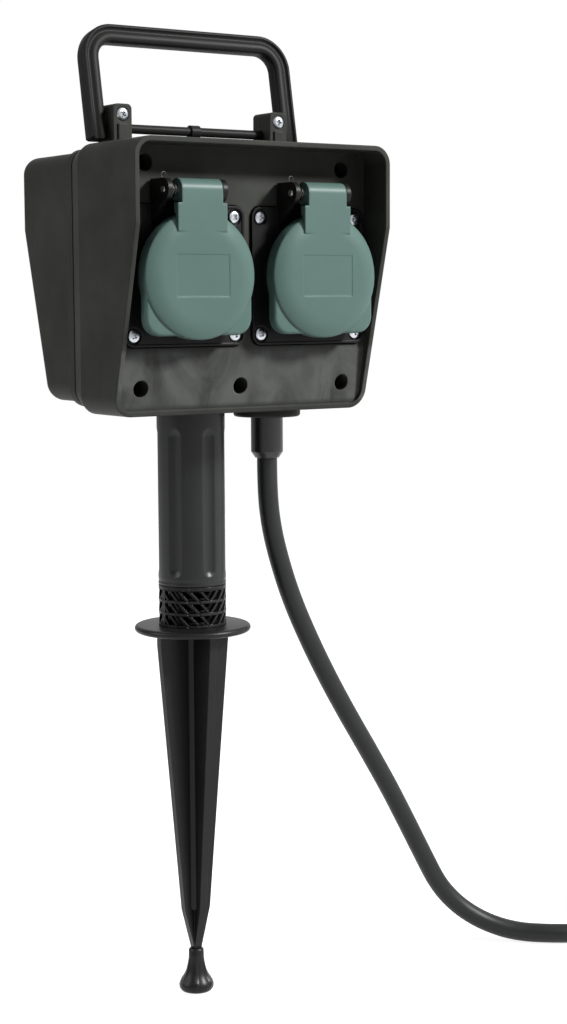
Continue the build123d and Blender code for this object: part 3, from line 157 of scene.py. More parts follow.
steps = int(last_quarter) * coil_points_per_quarter
coil = [coil_point(step / coil_points_per_quarter) for step in range(steps + 1)]
last_angle = start_angle + last_quarter * pi / 2
last_radius = coil_radius - coil_pitch / 4 * (coil_quarters_in - coil_quarters_out)
outward = Vector((cos(last_angle), sin(last_angle), 0))
along = Vector((-sin(last_angle), cos(last_angle), 0))
tail_heading = (outward * spiral_rate + along * last_radius).normalized()
coil_exit = coil[-1] + tail_heading * cord_diameter
plug_lift = Vector((0, 0, floor_level + plug_radius - coil_exit.z))
tail = [
    coil_exit,
    coil_exit + tail_heading * tail_end_run,
    coil_exit + tail_heading * (tail_end_run + tail_lift_run) + plug_lift,
    coil_exit + tail_heading * (2 * tail_end_run + tail_lift_run) + plug_lift,
]
cord_points = [Vector(p) for p in route] + [coil_entry] + coil + tail


def nurbs_curve(name, points, radius, resolution=12, bevel=10):
    """An open round cord or wire along control points."""
    data = bpy.data.curves.new(name, "CURVE")
    data.dimensions = "3D"
    data.resolution_u = resolution
    data.bevel_depth = radius
    data.bevel_resolution = bevel
    data.use_fill_caps = True
    spline = data.splines.new("NURBS")
    spline.points.add(len(points) - 1)
    for slot, place in zip(spline.points, points):
        slot.co = (*place, 1)
    spline.order_u = 3
    spline.use_endpoint_u = True
    piece = bpy.data.objects.new(name, data)
    bpy.context.scene.collection.objects.link(piece)
    return piece


def followed_length(points):
    """The length of the smooth curve of order 3 through these control points."""
    middles = [points[0]]
    middles += [(a + b) / 2 for a, b in zip(points[1:], points[2:-1])]
    middles.append(points[-1])
    total = 0.0
    spans = 8
    for start, corner, end in zip(middles, points[1:-1], middles[1:]):
        before = start
        for step in range(1, spans + 1):
            t = step / spans
            here = start * (1 - t) ** 2 + corner * 2 * t * (1 - t) + end * t**2
            total += (here - before).length
            before = here
    return total


cord_length = followed_length(cord_points)


# Materials, with texture scales in features per metre

cloud_scale = 38.0
streak_scale = 9.0
grain_scale = 1400.0
dust_and_sheen_scale = 46.0
bloom_scale = 60.0
scuff_scale = 1100.0
mottle_scale = 260.0
drawn_line_scale = 2600.0
grain_relief = 0.05 * mm
gloss_spread = 0.06
worn_gain = 1.6
worn_lift = 0.012
rubber_specular = 0.27

# Pale patches on front faces: dust, and a painted sheen of reflected light. The zone holds its
# lowest and highest level, the plane it lies in front of, and
#  the patches' strength. They fade out over the facing range, by the Y of a face's normal

dust_and_sheen_colour = (0.15, 0.155, 0.152)
shell_dust_and_sheen_zone = (98.5 * mm, 123 * mm, -36 * mm, 0.45)
level_fade = 2 * mm
plane_fade = 1 * mm
facing_range = (-0.9, -0.6)
patch_stretch = (1.0, 1.0, 0.45)
patch_range = (0.36, 0.62)
faintest_patches = 0.15


def shader_tools(name):
    """A new node material with its principled shader, and short ways to add and link nodes."""
    material = bpy.data.materials.new(name)
    material.use_nodes = True
    tree = material.node_tree
    principled = tree.nodes["Principled BSDF"]

    def add(kind, **values):
        node = tree.nodes.new(kind)
        for key, value in values.items():
            if hasattr(node, key):
                setattr(node, key, value)
            else:
                node.inputs[key.replace("_", " ")].default_value = value
        return node

    return material, principled, add, tree.links.new


def ramp_between(add, link, source, low, high, low_at=0.3, high_at=0.7):
    """Maps a grey value to a range between two values."""
    spread = add("ShaderNodeMapRange")
    spread.inputs["From Min"].default_value = low_at
    spread.inputs["From Max"].default_value = high_at
    spread.inputs["To Min"].default_value = low
    spread.inputs["To Max"].default_value = high
    link(source, spread.inputs["Value"])
    return spread.outputs["Result"]


def product(add, link, first, *others):
    """Several values multiplied: each is a socket or a plain number."""
    for other in others:
        node = add("ShaderNodeMath", operation="MULTIPLY")
        link(first, node.inputs[0])
        if isinstance(other, float):
            node.inputs[1].default_value = other
        else:
            link(other, node.inputs[1])
        first = node.outputs[0]
    return first


def greatest(add, link, first, *others):
    """The greatest of several values."""
    for other in others:
        node = add("ShaderNodeMath", operation="MAXIMUM")
        link(first, node.inputs[0])
        link(other, node.inputs[1])
        first = node.outputs[0]
    return first


def dust_and_painted_sheen(add, link, place, under, low, high, front, strength):
    """Pale patches on front faces between two levels and in front of a plane: dust, and a painted
    sheen of reflected light.
    """
    position = add("ShaderNodeSeparateXYZ")
    link(place, position.inputs["Vector"])
    above_foot = ramp_between(add, link, position.outputs["Z"], 0.0, 1.0, low, low + level_fade)
    below_head = ramp_between(add, link, position.outputs["Z"], 1.0, 0.0, high - level_fade, high)
    before = ramp_between(add, link, position.outputs["Y"], 1.0, 0.0, front - plane_fade, front)
    normal = add("ShaderNodeSeparateXYZ")
    link(add("ShaderNodeNewGeometry").outputs["True Normal"], normal.inputs["Vector"])
    facing_front = ramp_between(add, link, normal.outputs["Y"], 1.0, 0.0, *facing_range)
    stretched = add("ShaderNodeVectorMath", operation="MULTIPLY")
    stretched.inputs[1].default_value = patch_stretch
    link(place, stretched.inputs[0])
    patches = add(
        "ShaderNodeTexNoise", Scale=dust_and_sheen_scale, Detail=5.0, Roughness=0.55, Distortion=1.6
    )
    link(stretched.outputs["Vector"], patches.inputs["Vector"])
    cloudy = ramp_between(add, link, patches.outputs["Fac"], faintest_patches, 1.0, *patch_range)
    amount = product(
        add, link, cloudy, above_foot, below_head, before, facing_front, strength
    )
    # The pale colour mixed in here is dust and painted sheen of reflected light
    dust_and_sheen_tint = add("ShaderNodeMix", data_type="RGBA")
    dust_and_sheen_tint.inputs["B"].default_value = (*dust_and_sheen_colour, 1)
    link(under, dust_and_sheen_tint.inputs["A"])
    link(amount, dust_and_sheen_tint.inputs["Factor"])
    return dust_and_sheen_tint.outputs["Result"]


def moulded(
    name,
    colour,
    roughness,
    grain_depth=0.02,
    clouding=0.1,
    wear=0.35,
    rounding=0.45 * mm,
    specular=0.4,
    dust_and_sheen_zone=None,
):
    """Moulded plastic: fine grain, faint clouds, uneven gloss, rounded and paler edges."""
    material, shader, add, link = shader_tools(name)
    place = add("ShaderNodeTexCoord").outputs["Object"]

    clouds = add("ShaderNodeTexNoise", Scale=cloud_scale, Detail=4.0, Roughness=0.6)
    link(place, clouds.inputs["Vector"])
    streaks = add("ShaderNodeTexNoise", Scale=streak_scale, Detail=2.0, Roughness=0.5)
    link(place, streaks.inputs["Vector"])

    pale = [min(1.0, c * (1 + clouding) + 0.002) for c in colour]
    dark = [c * (1 - clouding) for c in colour]
    tint = add("ShaderNodeMix", data_type="RGBA")
    tint.inputs["A"].default_value = (*dark, 1)
    tint.inputs["B"].default_value = (*pale, 1)
    link(ramp_between(add, link, clouds.outputs["Fac"], 0.0, 1.0), tint.inputs["Factor"])

    soft_edge = add("ShaderNodeBevel", samples=6)
    soft_edge.inputs["Radius"].default_value = rounding
    surface_normal = add("ShaderNodeNewGeometry").outputs["Normal"]
    facing = add("ShaderNodeVectorMath", operation="DOT_PRODUCT")
    link(soft_edge.outputs["Normal"], facing.inputs[0])
    link(surface_normal, facing.inputs[1])
    edge = ramp_between(add, link, facing.outputs["Value"], wear, 0.0, 0.8, 1.0)
    edge_tint = add("ShaderNodeMix", data_type="RGBA")
    worn = [min(1.0, c * worn_gain + worn_lift) for c in colour]
    edge_tint.inputs["B"].default_value = (*worn, 1)
    link(tint.outputs["Result"], edge_tint.inputs["A"])
    link(edge, edge_tint.inputs["Factor"])
    finished = edge_tint.outputs["Result"]
    # Pale patches on front faces in a zone: dust, and a painted sheen of reflected light
    if dust_and_sheen_zone:
        finished = dust_and_painted_sheen(add, link, place, finished, *dust_and_sheen_zone)
    link(finished, shader.inputs["Base Color"])

    smoothest = max(0.05, roughness - gloss_spread)
    roughest = roughness + gloss_spread
    gloss = ramp_between(add, link, streaks.outputs["Fac"], smoothest, roughest)
    link(gloss, shader.inputs["Roughness"])

    fine = add("ShaderNodeTexNoise", Scale=grain_scale, Detail=2.0, Roughness=0.6)
    link(place, fine.inputs["Vector"])
    bump = add("ShaderNodeBump", Strength=grain_depth * 5, Distance=grain_relief)
    link(fine.outputs["Fac"], bump.inputs["Height"])
    link(soft_edge.outputs["Normal"], bump.inputs["Normal"])
    link(bump.outputs["Normal"], shader.inputs["Normal"])
    shader.inputs["Specular IOR Level"].default_value = specular
    return material


def rubber(name, colour, roughness):
    """Matt rubber with a dusty bloom and fine scuffs."""
    material, shader, add, link = shader_tools(name)
    place = add("ShaderNodeTexCoord").outputs["Object"]
    bloom = add("ShaderNodeTexNoise", Scale=bloom_scale, Detail=5.0, Roughness=0.65)
    link(place, bloom.inputs["Vector"])
    tint = add("ShaderNodeMix", data_type="RGBA")
    tint.inputs["A"].default_value = (*[c * 0.88 for c in colour], 1)
    tint.inputs["B"].default_value = (*[c * 1.18 + 0.002 for c in colour], 1)
    link(ramp_between(add, link, bloom.outputs["Fac"], 0.0, 1.0), tint.inputs["Factor"])
    link(tint.outputs["Result"], shader.inputs["Base Color"])
    link(
        ramp_between(add, link, bloom.outputs["Fac"], roughness - 0.05, roughness + 0.08),
        shader.inputs["Roughness"],
    )
    scuffs = add("ShaderNodeTexNoise", Scale=scuff_scale, Detail=3.0, Roughness=0.7)
    link(place, scuffs.inputs["Vector"])
    bump = add("ShaderNodeBump", Strength=0.12, Distance=grain_relief)
    link(scuffs.outputs["Fac"], bump.inputs["Height"])
    link(bump.outputs["Normal"], shader.inputs["Normal"])
    shader.inputs["Specular IOR Level"].default_value = rubber_specular
    return material


def metal(name, colour, roughness):
    """Plated metal with faint mottling and fine drawn lines."""
    material, shader, add, link = shader_tools(name)
    place = add("ShaderNodeTexCoord").outputs["Object"]
    mottle = add("ShaderNodeTexNoise", Scale=mottle_scale, Detail=4.0, Roughness=0.6)
    link(place, mottle.inputs["Vector"])
    tint = add("ShaderNodeMix", data_type="RGBA")
    tint.inputs["A"].default_value = (*[c * 0.82 for c in colour], 1)
    tint.inputs["B"].default_value = (*[min(1.0, c * 1.08) for c in colour], 1)
    link(ramp_between(add, link, mottle.outputs["Fac"], 0.0, 1.0), tint.inputs["Factor"])
    link(tint.outputs["Result"], shader.inputs["Base Color"])
    link(
        ramp_between(add, link, mottle.outputs["Fac"], roughness - 0.06, roughness + 0.1),
        shader.inputs["Roughness"],
    )
    lines = add("ShaderNodeTexNoise", Scale=drawn_line_scale, Detail=1.0)
    link(place, lines.inputs["Vector"])
    bump = add("ShaderNodeBump", Strength=0.06, Distance=0.02 * mm)
    link(lines.outputs["Fac"], bump.inputs["Height"])
    link(bump.outputs["Normal"], shader.inputs["Normal"])
    shader.inputs["Metallic"].default_value = 1.0
    return material


looks = {
    "shell_plastic": moulded(
        "shell_plastic",
        (0.037, 0.0385, 0.034),
        0.5,
        clouding=0.22,
        wear=0.1,
        rounding=0.8 * mm,
        specular=0.07,
        # The shell's lower front faces get dust and a painted sheen of reflected light
        dust_and_sheen_zone=shell_dust_and_sheen_zone,
    ),
    "handle_plastic": moulded(
        "handle_plastic",
        (0.014, 0.0145, 0.0136),
        0.42,
        grain_depth=0.015,
        wear=0.1,
        specular=0.07,
    ),
    "post_plastic": moulded(
        "post_plastic", (0.010, 0.0108, 0.0104), 0.38, wear=0.15, specular=0.3
    ),
    "spike_plastic": moulded(
        "spike_plastic", (0.008, 0.0082, 0.0078), 0.34, wear=0.2, specular=0.2
    ),
    "socket_plastic": moulded(
        "socket_plastic", (0.008, 0.008, 0.0076), 0.42, wear=0.2, specular=0.14
    ),
    "lid_plastic": moulded(
        "lid_plastic",
        (0.077, 0.133, 0.116),
        0.42,
        grain_depth=0.012,
        clouding=0.04,
        wear=0.1,
        rounding=1.0 * mm,
        specular=0.2,
    ),
    "seal_rubber": rubber("seal_rubber", (0.012, 0.012, 0.012), 0.6),
    "cable_rubber": rubber("cable_rubber", (0.011, 0.0118, 0.0118), 0.42),
    "plug_rubber": rubber("plug_rubber", (0.018, 0.018, 0.018), 0.55),
    "zinc_steel": metal("zinc_steel", (0.5, 0.52, 0.55), 0.27),
    "bright_steel": metal("bright_steel", (0.42, 0.42, 0.41), 0.3),
    "spring_wire": metal("spring_wire", (0.07, 0.068, 0.06), 0.4),
    "relief_rubber": moulded(
        "relief_rubber", (0.014, 0.0145, 0.014), 0.3, wear=0.1, specular=0.5
    ),
    "plated_brass": metal("plated_brass", (0.74, 0.71, 0.64), 0.26),
    "brown_insulation": moulded("brown_insulation", (0.11, 0.045, 0.02), 0.4),
    "blue_insulation": moulded("blue_insulation", (0.02, 0.06, 0.32), 0.4),
    "green_insulation": moulded("green_insulation", (0.05, 0.28, 0.04), 0.4),
}

slot_of_node = {entry["node"]: entry["material_slot"] for entry in frame["record"]["subparts"]}


def dress(node, look):
    """Gives a CAD node its finish."""
    if node.material_slots:
        for slot in node.material_slots:
            slot.material = looks[look]
    else:
        node.data.materials.append(looks[look])


for node_name, node in nodes.items():
    dress(node, slot_of_node[node_name])
dress(nodes["lid_spring_left"], "spring_wire")
dress(nodes["lid_spring_right"], "spring_wire")
dress(nodes["strain_relief"], "relief_rubber")


# Pieces built in mesh code

def finish_piece(name, mesh_builder, body, slot_name, smooth_angle):
    """Turns a bmesh into a named, smooth-shaded piece that rides on a body."""
    data = bpy.data.meshes.new(name)
    mesh_builder.normal_update()
    mesh_builder.to_mesh(data)
    mesh_builder.free()
    carried_normals = data.attributes.get("custom_normal")
    if carried_normals:
        data.attributes.remove(carried_normals)
    piece = bpy.data.objects.new(name, data)
    bpy.context.scene.collection.objects.link(piece)
    data.materials.append(looks[slot_name])
    data.shade_smooth()
    data.set_sharp_from_angle(angle=radians(smooth_angle))
    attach(piece, body)
    return piece


def axes_for(direction):
    """Two directions square to the given one and to each other."""
    direction = Vector(direction).normalized()
    start = Vector((0, 0, 1)) if abs(direction.z) < 0.9 else Vector((1, 0, 0))
    first = direction.cross(start).normalized()
    return first, direction.cross(first).normalized()


def lathe(mesh_builder, profile, origin, direction, sides):
    """A turned shape: profile holds (distance along the direction, radius) pairs."""
    direction = Vector(direction).normalized()
    first, second = axes_for(direction)
    rings = []
    for reach, radius in profile:
        centre = Vector(origin) + direction * reach
        if radius <= 0:
            rings.append([mesh_builder.verts.new(centre)])
            continue
        ring = []
        for side in range(sides):
            angle = 2 * pi * side / sides
            ring.append(
                mesh_builder.verts.new(
                    centre + (first * cos(angle) + second * sin(angle)) * radius
                )
            )
        rings.append(ring)
    for before, after in zip(rings, rings[1:]):
        if len(before) == 1 and len(after) == 1:
            continue
        for side in range(sides):
            follow = (side + 1) % sides
            if len(before) == 1:
                mesh_builder.faces.new((before[0], after[follow], after[side]))
            elif len(after) == 1:
                mesh_builder.faces.new((before[side], before[follow], after[0]))
            else:
                mesh_builder.faces.new(
                    (before[side], before[follow], after[follow], after[side])
                )


def join_rings(mesh_builder, rings):
    """Faces between neighbouring rings that hold the same number of points."""
    for before, after in zip(rings, rings[1:]):
        for spot in range(len(before)):
            follow = (spot + 1) % len(before)
            mesh_builder.faces.new((before[spot], before[follow], after[follow], after[spot]))


def level_ring(mesh_builder, level, sides, reach_at):
    """A ring of points round Z at one level. reach_at gives its radius at an angle."""
    ring = []
    for side in range(sides):
        angle = 2 * pi * side / sides
        reach = reach_at(angle)
        ring.append(mesh_builder.verts.new((reach * cos(angle), reach * sin(angle), level)))
    return ring


def baked(piece):
    """The piece's mesh with its modifiers applied, as a new bmesh."""
    graph = bpy.context.evaluated_depsgraph_get()
    data = bpy.data.meshes.new_from_object(piece.evaluated_get(graph))
    mesh_builder = bmesh.new()
    mesh_builder.from_mesh(data)
    bpy.data.meshes.remove(data)
    return mesh_builder


def cut_away(blank_data, cutter_mesh, crossing=False):
    """A mesh with a cutter's volume taken out of it, as a new bmesh."""
    cutter_data = bpy.data.meshes.new("cutter")
    cutter_mesh.to_mesh(cutter_data)
    cutter_mesh.free()
    cutter = bpy.data.objects.new("cutter", cutter_data)
    blank = bpy.data.objects.new("blank", blank_data)
    for helper in (cutter, blank):
        bpy.context.scene.collection.objects.link(helper)
    cut = blank.modifiers.new("cut", "BOOLEAN")
    cut.operation = "DIFFERENCE"
    cut.solver = "EXACT"
    cut.use_self = crossing
    cut.object = cutter
    bpy.context.view_layer.update()
    result = baked(blank)
    bpy.data.objects.remove(blank)
    bpy.data.objects.remove(cutter)
    return result


def solid_ring(inner, outer, reach, origin, direction, sides):
    """A closed ring of rectangular section, for cutting."""
    ring = bmesh.new()
    profile = [(0, inner), (0, outer), (reach, outer), (reach, inner), (0, inner)]
    lathe(ring, profile, origin, direction, sides)
    bmesh.ops.remove_doubles(ring, verts=ring.verts, dist=1e-6)
    bmesh.ops.recalc_face_normals(ring, faces=ring.faces)
    return ring


def turned_down(node_name, inner, outer, low, high):
    """A node's mesh with a ring between two radii taken off, over a stretch of its height."""
    ring = solid_ring(inner, outer, high - low, (0, 0, low), (0, 0, 1), sides=64)
    return cut_away(nodes[node_name].data.copy(), ring)


# A screw's shape, as shares of its head's height or its radii

tip_share = 0.4
rim_share = 0.96
rim_rise = 0.25
crown_share = 0.45
flat_share = 0.42
crown_steps = 6
recess_reach = 1.25
recess_depth = 1.5
recess_sink = 1.05
recess_width = 0.34
recess_taper = 0.55


def crossed_screw(head_radius, head_height, shank_radius, length):
    """A pan-head screw along +Y from its head's underside at zero, with a cross recess."""
    body = bmesh.new()
    crown = head_height * crown_share
    profile = [
        (length, 0),
        (length, shank_radius * tip_share),
        (length - shank_radius, shank_radius),
        (0, shank_radius),
        (0, head_radius * rim_share),
        (-crown * rim_rise, head_radius),
    ]
    for step in range(crown_steps + 1):
        angle = pi / 2 * step / crown_steps
        bulge = (1 - flat_share) * cos(angle) if step < crown_steps else 0.0
        profile.append(
            (
                -crown - (head_height - crown) * sin(angle),
                head_radius * (flat_share + bulge),
            )
        )
    profile.append((-head_height, 0))
    towards_tip = [(-reach, radius) for reach, radius in profile]
    lathe(body, towards_tip, (0, 0, 0), (0, -1, 0), sides=32)
    bmesh.ops.recalc_face_normals(body, faces=body.faces)
    plain = bpy.data.meshes.new("screw_blank")
    body.to_mesh(plain)
    body.free()

    cross = bmesh.new()
    for turn_angle in (0, pi / 2):
        arm = bmesh.ops.create_cube(cross, size=1.0)["verts"]
        for corner in arm:
            taper = recess_taper if corner.co.y > 0 else 1.0
            x = corner.co.x * head_radius * recess_reach * taper
            y = corner.co.y * head_height * recess_depth - head_height * recess_sink
            z = corner.co.z * head_radius * recess_width
            corner.co = (
                x * cos(turn_angle) - z * sin(turn_angle),
                y,
                x * sin(turn_angle) + z * cos(turn_angle),
            )
    return cut_away(plain, cross, crossing=True)


first_screw_turn = 0.6
screw_turn_step = 1.1


def screw_set(name, node, points, seat_y, size):
    """Crossed screws that stand for a CAD group, each turned a little differently."""
    pattern = crossed_screw(*size)
    group = bmesh.new()
    for index, (x, z) in enumerate(points):
        spun = pattern.copy()
        spin = Matrix.Rotation(first_screw_turn + screw_turn_step * index, 4, "Y")
        bmesh.ops.transform(
            spun, matrix=Matrix.Translation((x, seat_y, z)) @ spin, verts=spun.verts
        )
        data = bpy.data.meshes.new("screw_copy")
        spun.to_mesh(data)
        spun.free()
        group.from_mesh(data)
        bpy.data.meshes.remove(data)
    pattern.free()
    piece = finish_piece(name, group, "post", "zinc_steel", 28.0)
    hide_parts(node)


# Screws: sizes are head radius, head height, shank radius and length

shell_top = 204.0 * mm
socket_x = 29.6 * mm
socket_level = 151.2 * mm
plate_y = -46.0 * mm
plate_screw_reach = 23.4 * mm
screw_recess = 0.9 * mm
plate_screw_size = (2.6 * mm, 1.3 * mm, 1.3 * mm, 9.0 * mm)
lug_reach = 37.7 * mm
lug_screw_z = shell_top + 12.4 * mm
lug_front_y = parting_y - 7.0 * mm
lug_screw_size = (2.7 * mm, 1.6 * mm, 1.4 * mm, 11.0 * mm)
shell_screw_y = parting_y - 9.0 * mm
shell_screw_size = (2.9 * mm, 2.0 * mm, 1.45 * mm, 19.0 * mm)
shell_screw_spots = [
    (-48.4 * mm, 107.0 * mm),
    (-1.9 * mm, 107.0 * mm),
    (48.4 * mm, 107.0 * mm),
    (-46.7 * mm, 195.0 * mm),
    (46.7 * mm, 195.0 * mm),
]
for side_name, centre_x in (("left", -socket_x), ("right", socket_x)):
    spots = [
        (centre_x + across * plate_screw_reach, socket_level + rise * plate_screw_reach)
        for across in (-1, 1)
        for rise in (-1, 1)
    ]
    screw_set(
        f"socket_screw_heads_{side_name}",
        f"socket_screws_{side_name}",
        spots,
        plate_y + screw_recess,
        plate_screw_size,
    )

screw_set(
    "lug_screw_heads",
    "lug_screws",
    [(-lug_reach, lug_screw_z), (lug_reach, lug_screw_z)],
    lug_front_y + screw_recess,
    lug_screw_size,
)
screw_set(
    "shell_screw_heads", "shell_screws", shell_screw_spots, shell_screw_y, shell_screw_size
)


# Lattice collar of the spike: the CAD solid with its outer layer turned off, and a woven sleeve

bar_piece_turn = radians(4)


def ring_block(mesh_builder, turns, start_levels, end_levels, radii):
    """A curved bar round Z between two angles, which may climb from its start to its end."""
    turn_from, turn_to = turns
    low, high = start_levels
    lean_low, lean_high = end_levels
    inner, outer = radii
    pieces = max(2, int(abs(turn_to - turn_from) / bar_piece_turn) + 1)
    rows = []
    for piece in range(pieces + 1):
        share = piece / pieces
        angle = turn_from + (turn_to - turn_from) * share
        foot = low + (lean_low - low) * share
        head = high + (lean_high - high) * share
        side = Vector((cos(angle), sin(angle), 0))
        rows.append(
            [
                mesh_builder.verts.new(side * radius + Vector((0, 0, level)))
                for radius, level in ((inner, foot), (outer, foot), (outer, head), (inner, head))
            ]
        )
    join_rings(mesh_builder, rows)
    mesh_builder.faces.new(rows[0])
    mesh_builder.faces.new(reversed(rows[-1]))


collar_radius = 14.5 * mm
collar_foot = 3.0 * mm
collar_top = 20.5 * mm
collar_skin = 1.7 * mm
collar_core = 11.6 * mm
collar_band = 1.6 * mm
collar_rib = 1.15 * mm
collar_bar = 0.95 * mm
collar_rows = 3
collar_post_half = radians(4.5)
collar_lean = 0.9  # how far a bar runs round the collar for each unit that it climbs
bar_sink = 0.08 * mm
lip_below = 0.1 * mm
lip_above = 0.2 * mm
cut_margin = 1.0 * mm
band_foot = collar_top - collar_band
window_pitch = (band_foot - collar_foot) / collar_rows
bar_turn = window_pitch * collar_lean / collar_radius
skin_radii = (collar_radius - collar_skin, collar_radius)
bar_radii = (collar_radius - collar_skin, collar_radius - bar_sink)
spike_mesh = turned_down(
    "spike", collar_core, collar_radius + cut_margin, collar_foot, band_foot
)

for row in range(collar_rows):
    rib_foot = collar_foot + row * window_pitch
    rib = (rib_foot, rib_foot + collar_rib)
    ring_block(spike_mesh, (0, 2 * pi), rib, rib, skin_radii)
lip = (band_foot - lip_below, band_foot + lip_above)
ring_block(spike_mesh, (0, 2 * pi), lip, lip, (collar_core, collar_radius))
half_rise = collar_bar * sqrt(1 + collar_lean**2) / collar_lean / 2
face_turn = pi / 2 - collar_post_half
bar_steps = int(face_turn / bar_turn) + 1
for face_angle in (-pi / 2, pi / 2):
    for half in (-1, 1):
        for row in range(collar_rows):
            low = collar_foot + row * window_pitch + collar_rib / 2
            for step in range(bar_steps):
                turn_from = step * bar_turn
                turn_to = min(turn_from + bar_turn, face_turn)
                top = low + window_pitch * (turn_to - turn_from) / bar_turn
                ring_block(
                    spike_mesh,
                    (face_angle + half * turn_from, face_angle + half * turn_to),
                    (low - half_rise, low + half_rise),
                    (top - half_rise, top + half_rise),
                    bar_radii,
                )
upright = (collar_foot, band_foot)
for post_angle in (0, pi):
    turns = (post_angle - collar_post_half, post_angle + collar_post_half)
    ring_block(spike_mesh, turns, upright, upright, skin_radii)
spike_piece = finish_piece("spike_with_lattice", spike_mesh, "post", "spike_plastic", 30.0)
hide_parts("spike")


# Post tube: the CAD solid with its outer skin turned off, and a sleeve with soft flutes

post_radius = 14.55 * mm
post_foot = 20.5 * mm
skin_top = 98.0 * mm
skin_depth = 1.5 * mm
flute_count = 6
flute_depth = 1.15 * mm
flute_half_width = 2.9 * mm
flute_roundness = 0.8
flute_foot = 28.0 * mm
flute_head = 84.5 * mm
foot_bevel = 0.5 * mm
sleeve_step = 0.75 * mm
sleeve_rows = 102
sleeve_sides = 240
seam_from = 1.9 * mm
seam_to = 2.7 * mm
seam_depth = 0.25 * mm
overlap = 0.1 * mm


def flute_reach(angle, level):
    """The sleeve's radius at an angle and level, with its round-ended flutes."""
    pitch = 2 * pi / flute_count
    nearest = round((angle + pi / 2) / pitch) * pitch - pi / 2
    across = (angle - nearest) * post_radius
    past_end = max(flute_foot - level, level - flute_head, 0.0)
    distance = sqrt(across * across + past_end * past_end) / flute_half_width
    if distance >= 1:
        return post_radius
    return post_radius - flute_depth * (1 - distance**2) ** flute_roundness


tube_mesh = turned_down(
    "post_tube", post_radius - skin_depth, post_radius + cut_margin, 0.0, skin_top
)
hidden_reach = post_radius - skin_depth - overlap
sleeve_levels = [post_foot, post_foot + foot_bevel]
sleeve_levels += [
    post_foot + foot_bevel + sleeve_step * step for step in range(1, sleeve_rows + 1)
]
sleeve_levels.append(skin_top)
sleeve_rings = [level_ring(tube_mesh, post_foot, sleeve_sides, lambda angle: hidden_reach)]
for level in sleeve_levels:
    sunk = foot_bevel if level == post_foot else 0.0
    if seam_from < level - post_foot < seam_to:
        sunk = seam_depth
    sleeve_rings.append(
        level_ring(
            tube_mesh,
            level,
            sleeve_sides,
            lambda angle, level=level, sunk=sunk: flute_reach(angle, level) - sunk,
        )
    )
sleeve_rings.append(level_ring(tube_mesh, skin_top, sleeve_sides, lambda angle: hidden_reach))
join_rings(tube_mesh, sleeve_rings)
tube_piece = finish_piece("fluted_post_tube", tube_mesh, "post", "post_plastic", 50.0)
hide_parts("post_tube")


# Tip guard: a flared bell with small ribs over the spike's point. The profile holds
# (height above the floor, radius) pairs, in millimetres

guard_profile = [
    (0.0, 5.4),
    (0.5, 6.7),
    (1.6, 7.45),
    (3.0, 7.6),
    (4.4, 7.15),
    (5.4, 6.4),
    (6.8, 5.45),
    (8.4, 4.7),
    (10.4, 4.1),
    (12.6, 3.65),
    (15.4, 3.4),
    (18.5, 3.3),
    (19.1, 2.8),
]
guard_rib_count = 6
guard_rib_proud = 0.55
guard_rib_sharpness = 8
guard_rib_foot = 4.0
guard_rib_head = 13.0
guard_sides = 96


def guard_reach(angle, radius, ribbed):
    """The bell's radius at an angle, in metres, from the profile's radius."""
    rib = max(0.0, cos(guard_rib_count * angle)) ** guard_rib_sharpness
    return (radius + guard_rib_proud * ribbed * rib) * mm


guard_mesh = bmesh.new()
guard_rings = []
for rise, radius in guard_profile:
    ribbed = 1.0 if guard_rib_foot < rise < guard_rib_head else 0.0
    guard_rings.append(
        level_ring(
            guard_mesh,
            floor_level + rise * mm,
            guard_sides,
            lambda angle, radius=radius, ribbed=ribbed: guard_reach(angle, radius, ribbed),
        )
    )
join_rings(guard_mesh, guard_rings)
guard_mesh.faces.new(reversed(guard_rings[0]))
guard_mesh.faces.new(guard_rings[-1])
guard_piece = finish_piece("flared_tip_guard", guard_mesh, "post", "spike_plastic", 50.0)
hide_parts("tip_guard")


# Handle: the CAD rod, and a swept frame with soft corners and a broad channel

handle_lean = radians(10.7)
rod_z = 211.3 * mm
handle_half = 50.0 * mm
handle_top = 42.5 * mm
handle_foot = 5.3 * mm
handle_bar = 7.4 * mm
handle_depth = 7.1 * mm
handle_up = Vector((0, sin(handle_lean), cos(handle_lean)))
handle_front = Vector((0, -cos(handle_lean), sin(handle_lean)))
rod_centre = Vector((0, parting_y, rod_z))
rod_keep = 12 * mm
rod_bite = 0.15 * mm
bend_radius = 10.6 * mm
bend_steps = 14
leg_joint = 8 * mm
foot_narrowing = 0.82
foot_bevel_height = 0.7 * mm

handle_mesh = bmesh.new()
handle_mesh.from_mesh(nodes["handle"].data)
for side in (-1, 1):
    bmesh.ops.bisect_plane(
        handle_mesh,
        geom=handle_mesh.verts[:] + handle_mesh.edges[:] + handle_mesh.faces[:],
        plane_co=(side * (handle_half - handle_bar - rod_bite), 0, 0),
        plane_no=(side, 0, 0),
        clear_outer=True,
    )
bmesh.ops.bisect_plane(
    handle_mesh,
    geom=handle_mesh.verts[:] + handle_mesh.edges[:] + handle_mesh.faces[:],
    plane_co=rod_centre + handle_up * rod_keep,
    plane_no=handle_up,
    clear_outer=True,
)

# The frame's path: (across, up) from the rod's middle, with the direction towards the outside

bar_middle = handle_half - handle_bar / 2
bend_reach = bar_middle - bend_radius
bend_level = handle_top - handle_bar / 2 - bend_radius
frame_path = [(Vector((-bar_middle, -handle_foot)), Vector((-1, 0)))]
frame_path.append((Vector((-bar_middle, leg_joint)), Vector((-1, 0))))
for sign in (-1, 1):
    for step in range(bend_steps + 1):
        share = step / bend_steps if sign < 0 else 1 - step / bend_steps
        angle = pi / 2 * share
        away = Vector((sign * cos(angle), sin(angle)))
        frame_path.append((Vector((sign * bend_reach, bend_level)) + away * bend_radius, away))
frame_path.append((Vector((bar_middle, leg_joint)), Vector((1, 0))))
frame_path.append((Vector((bar_middle, -handle_foot)), Vector((1, 0))))

# The bar's section, as (towards the outside, towards the front) from its middle

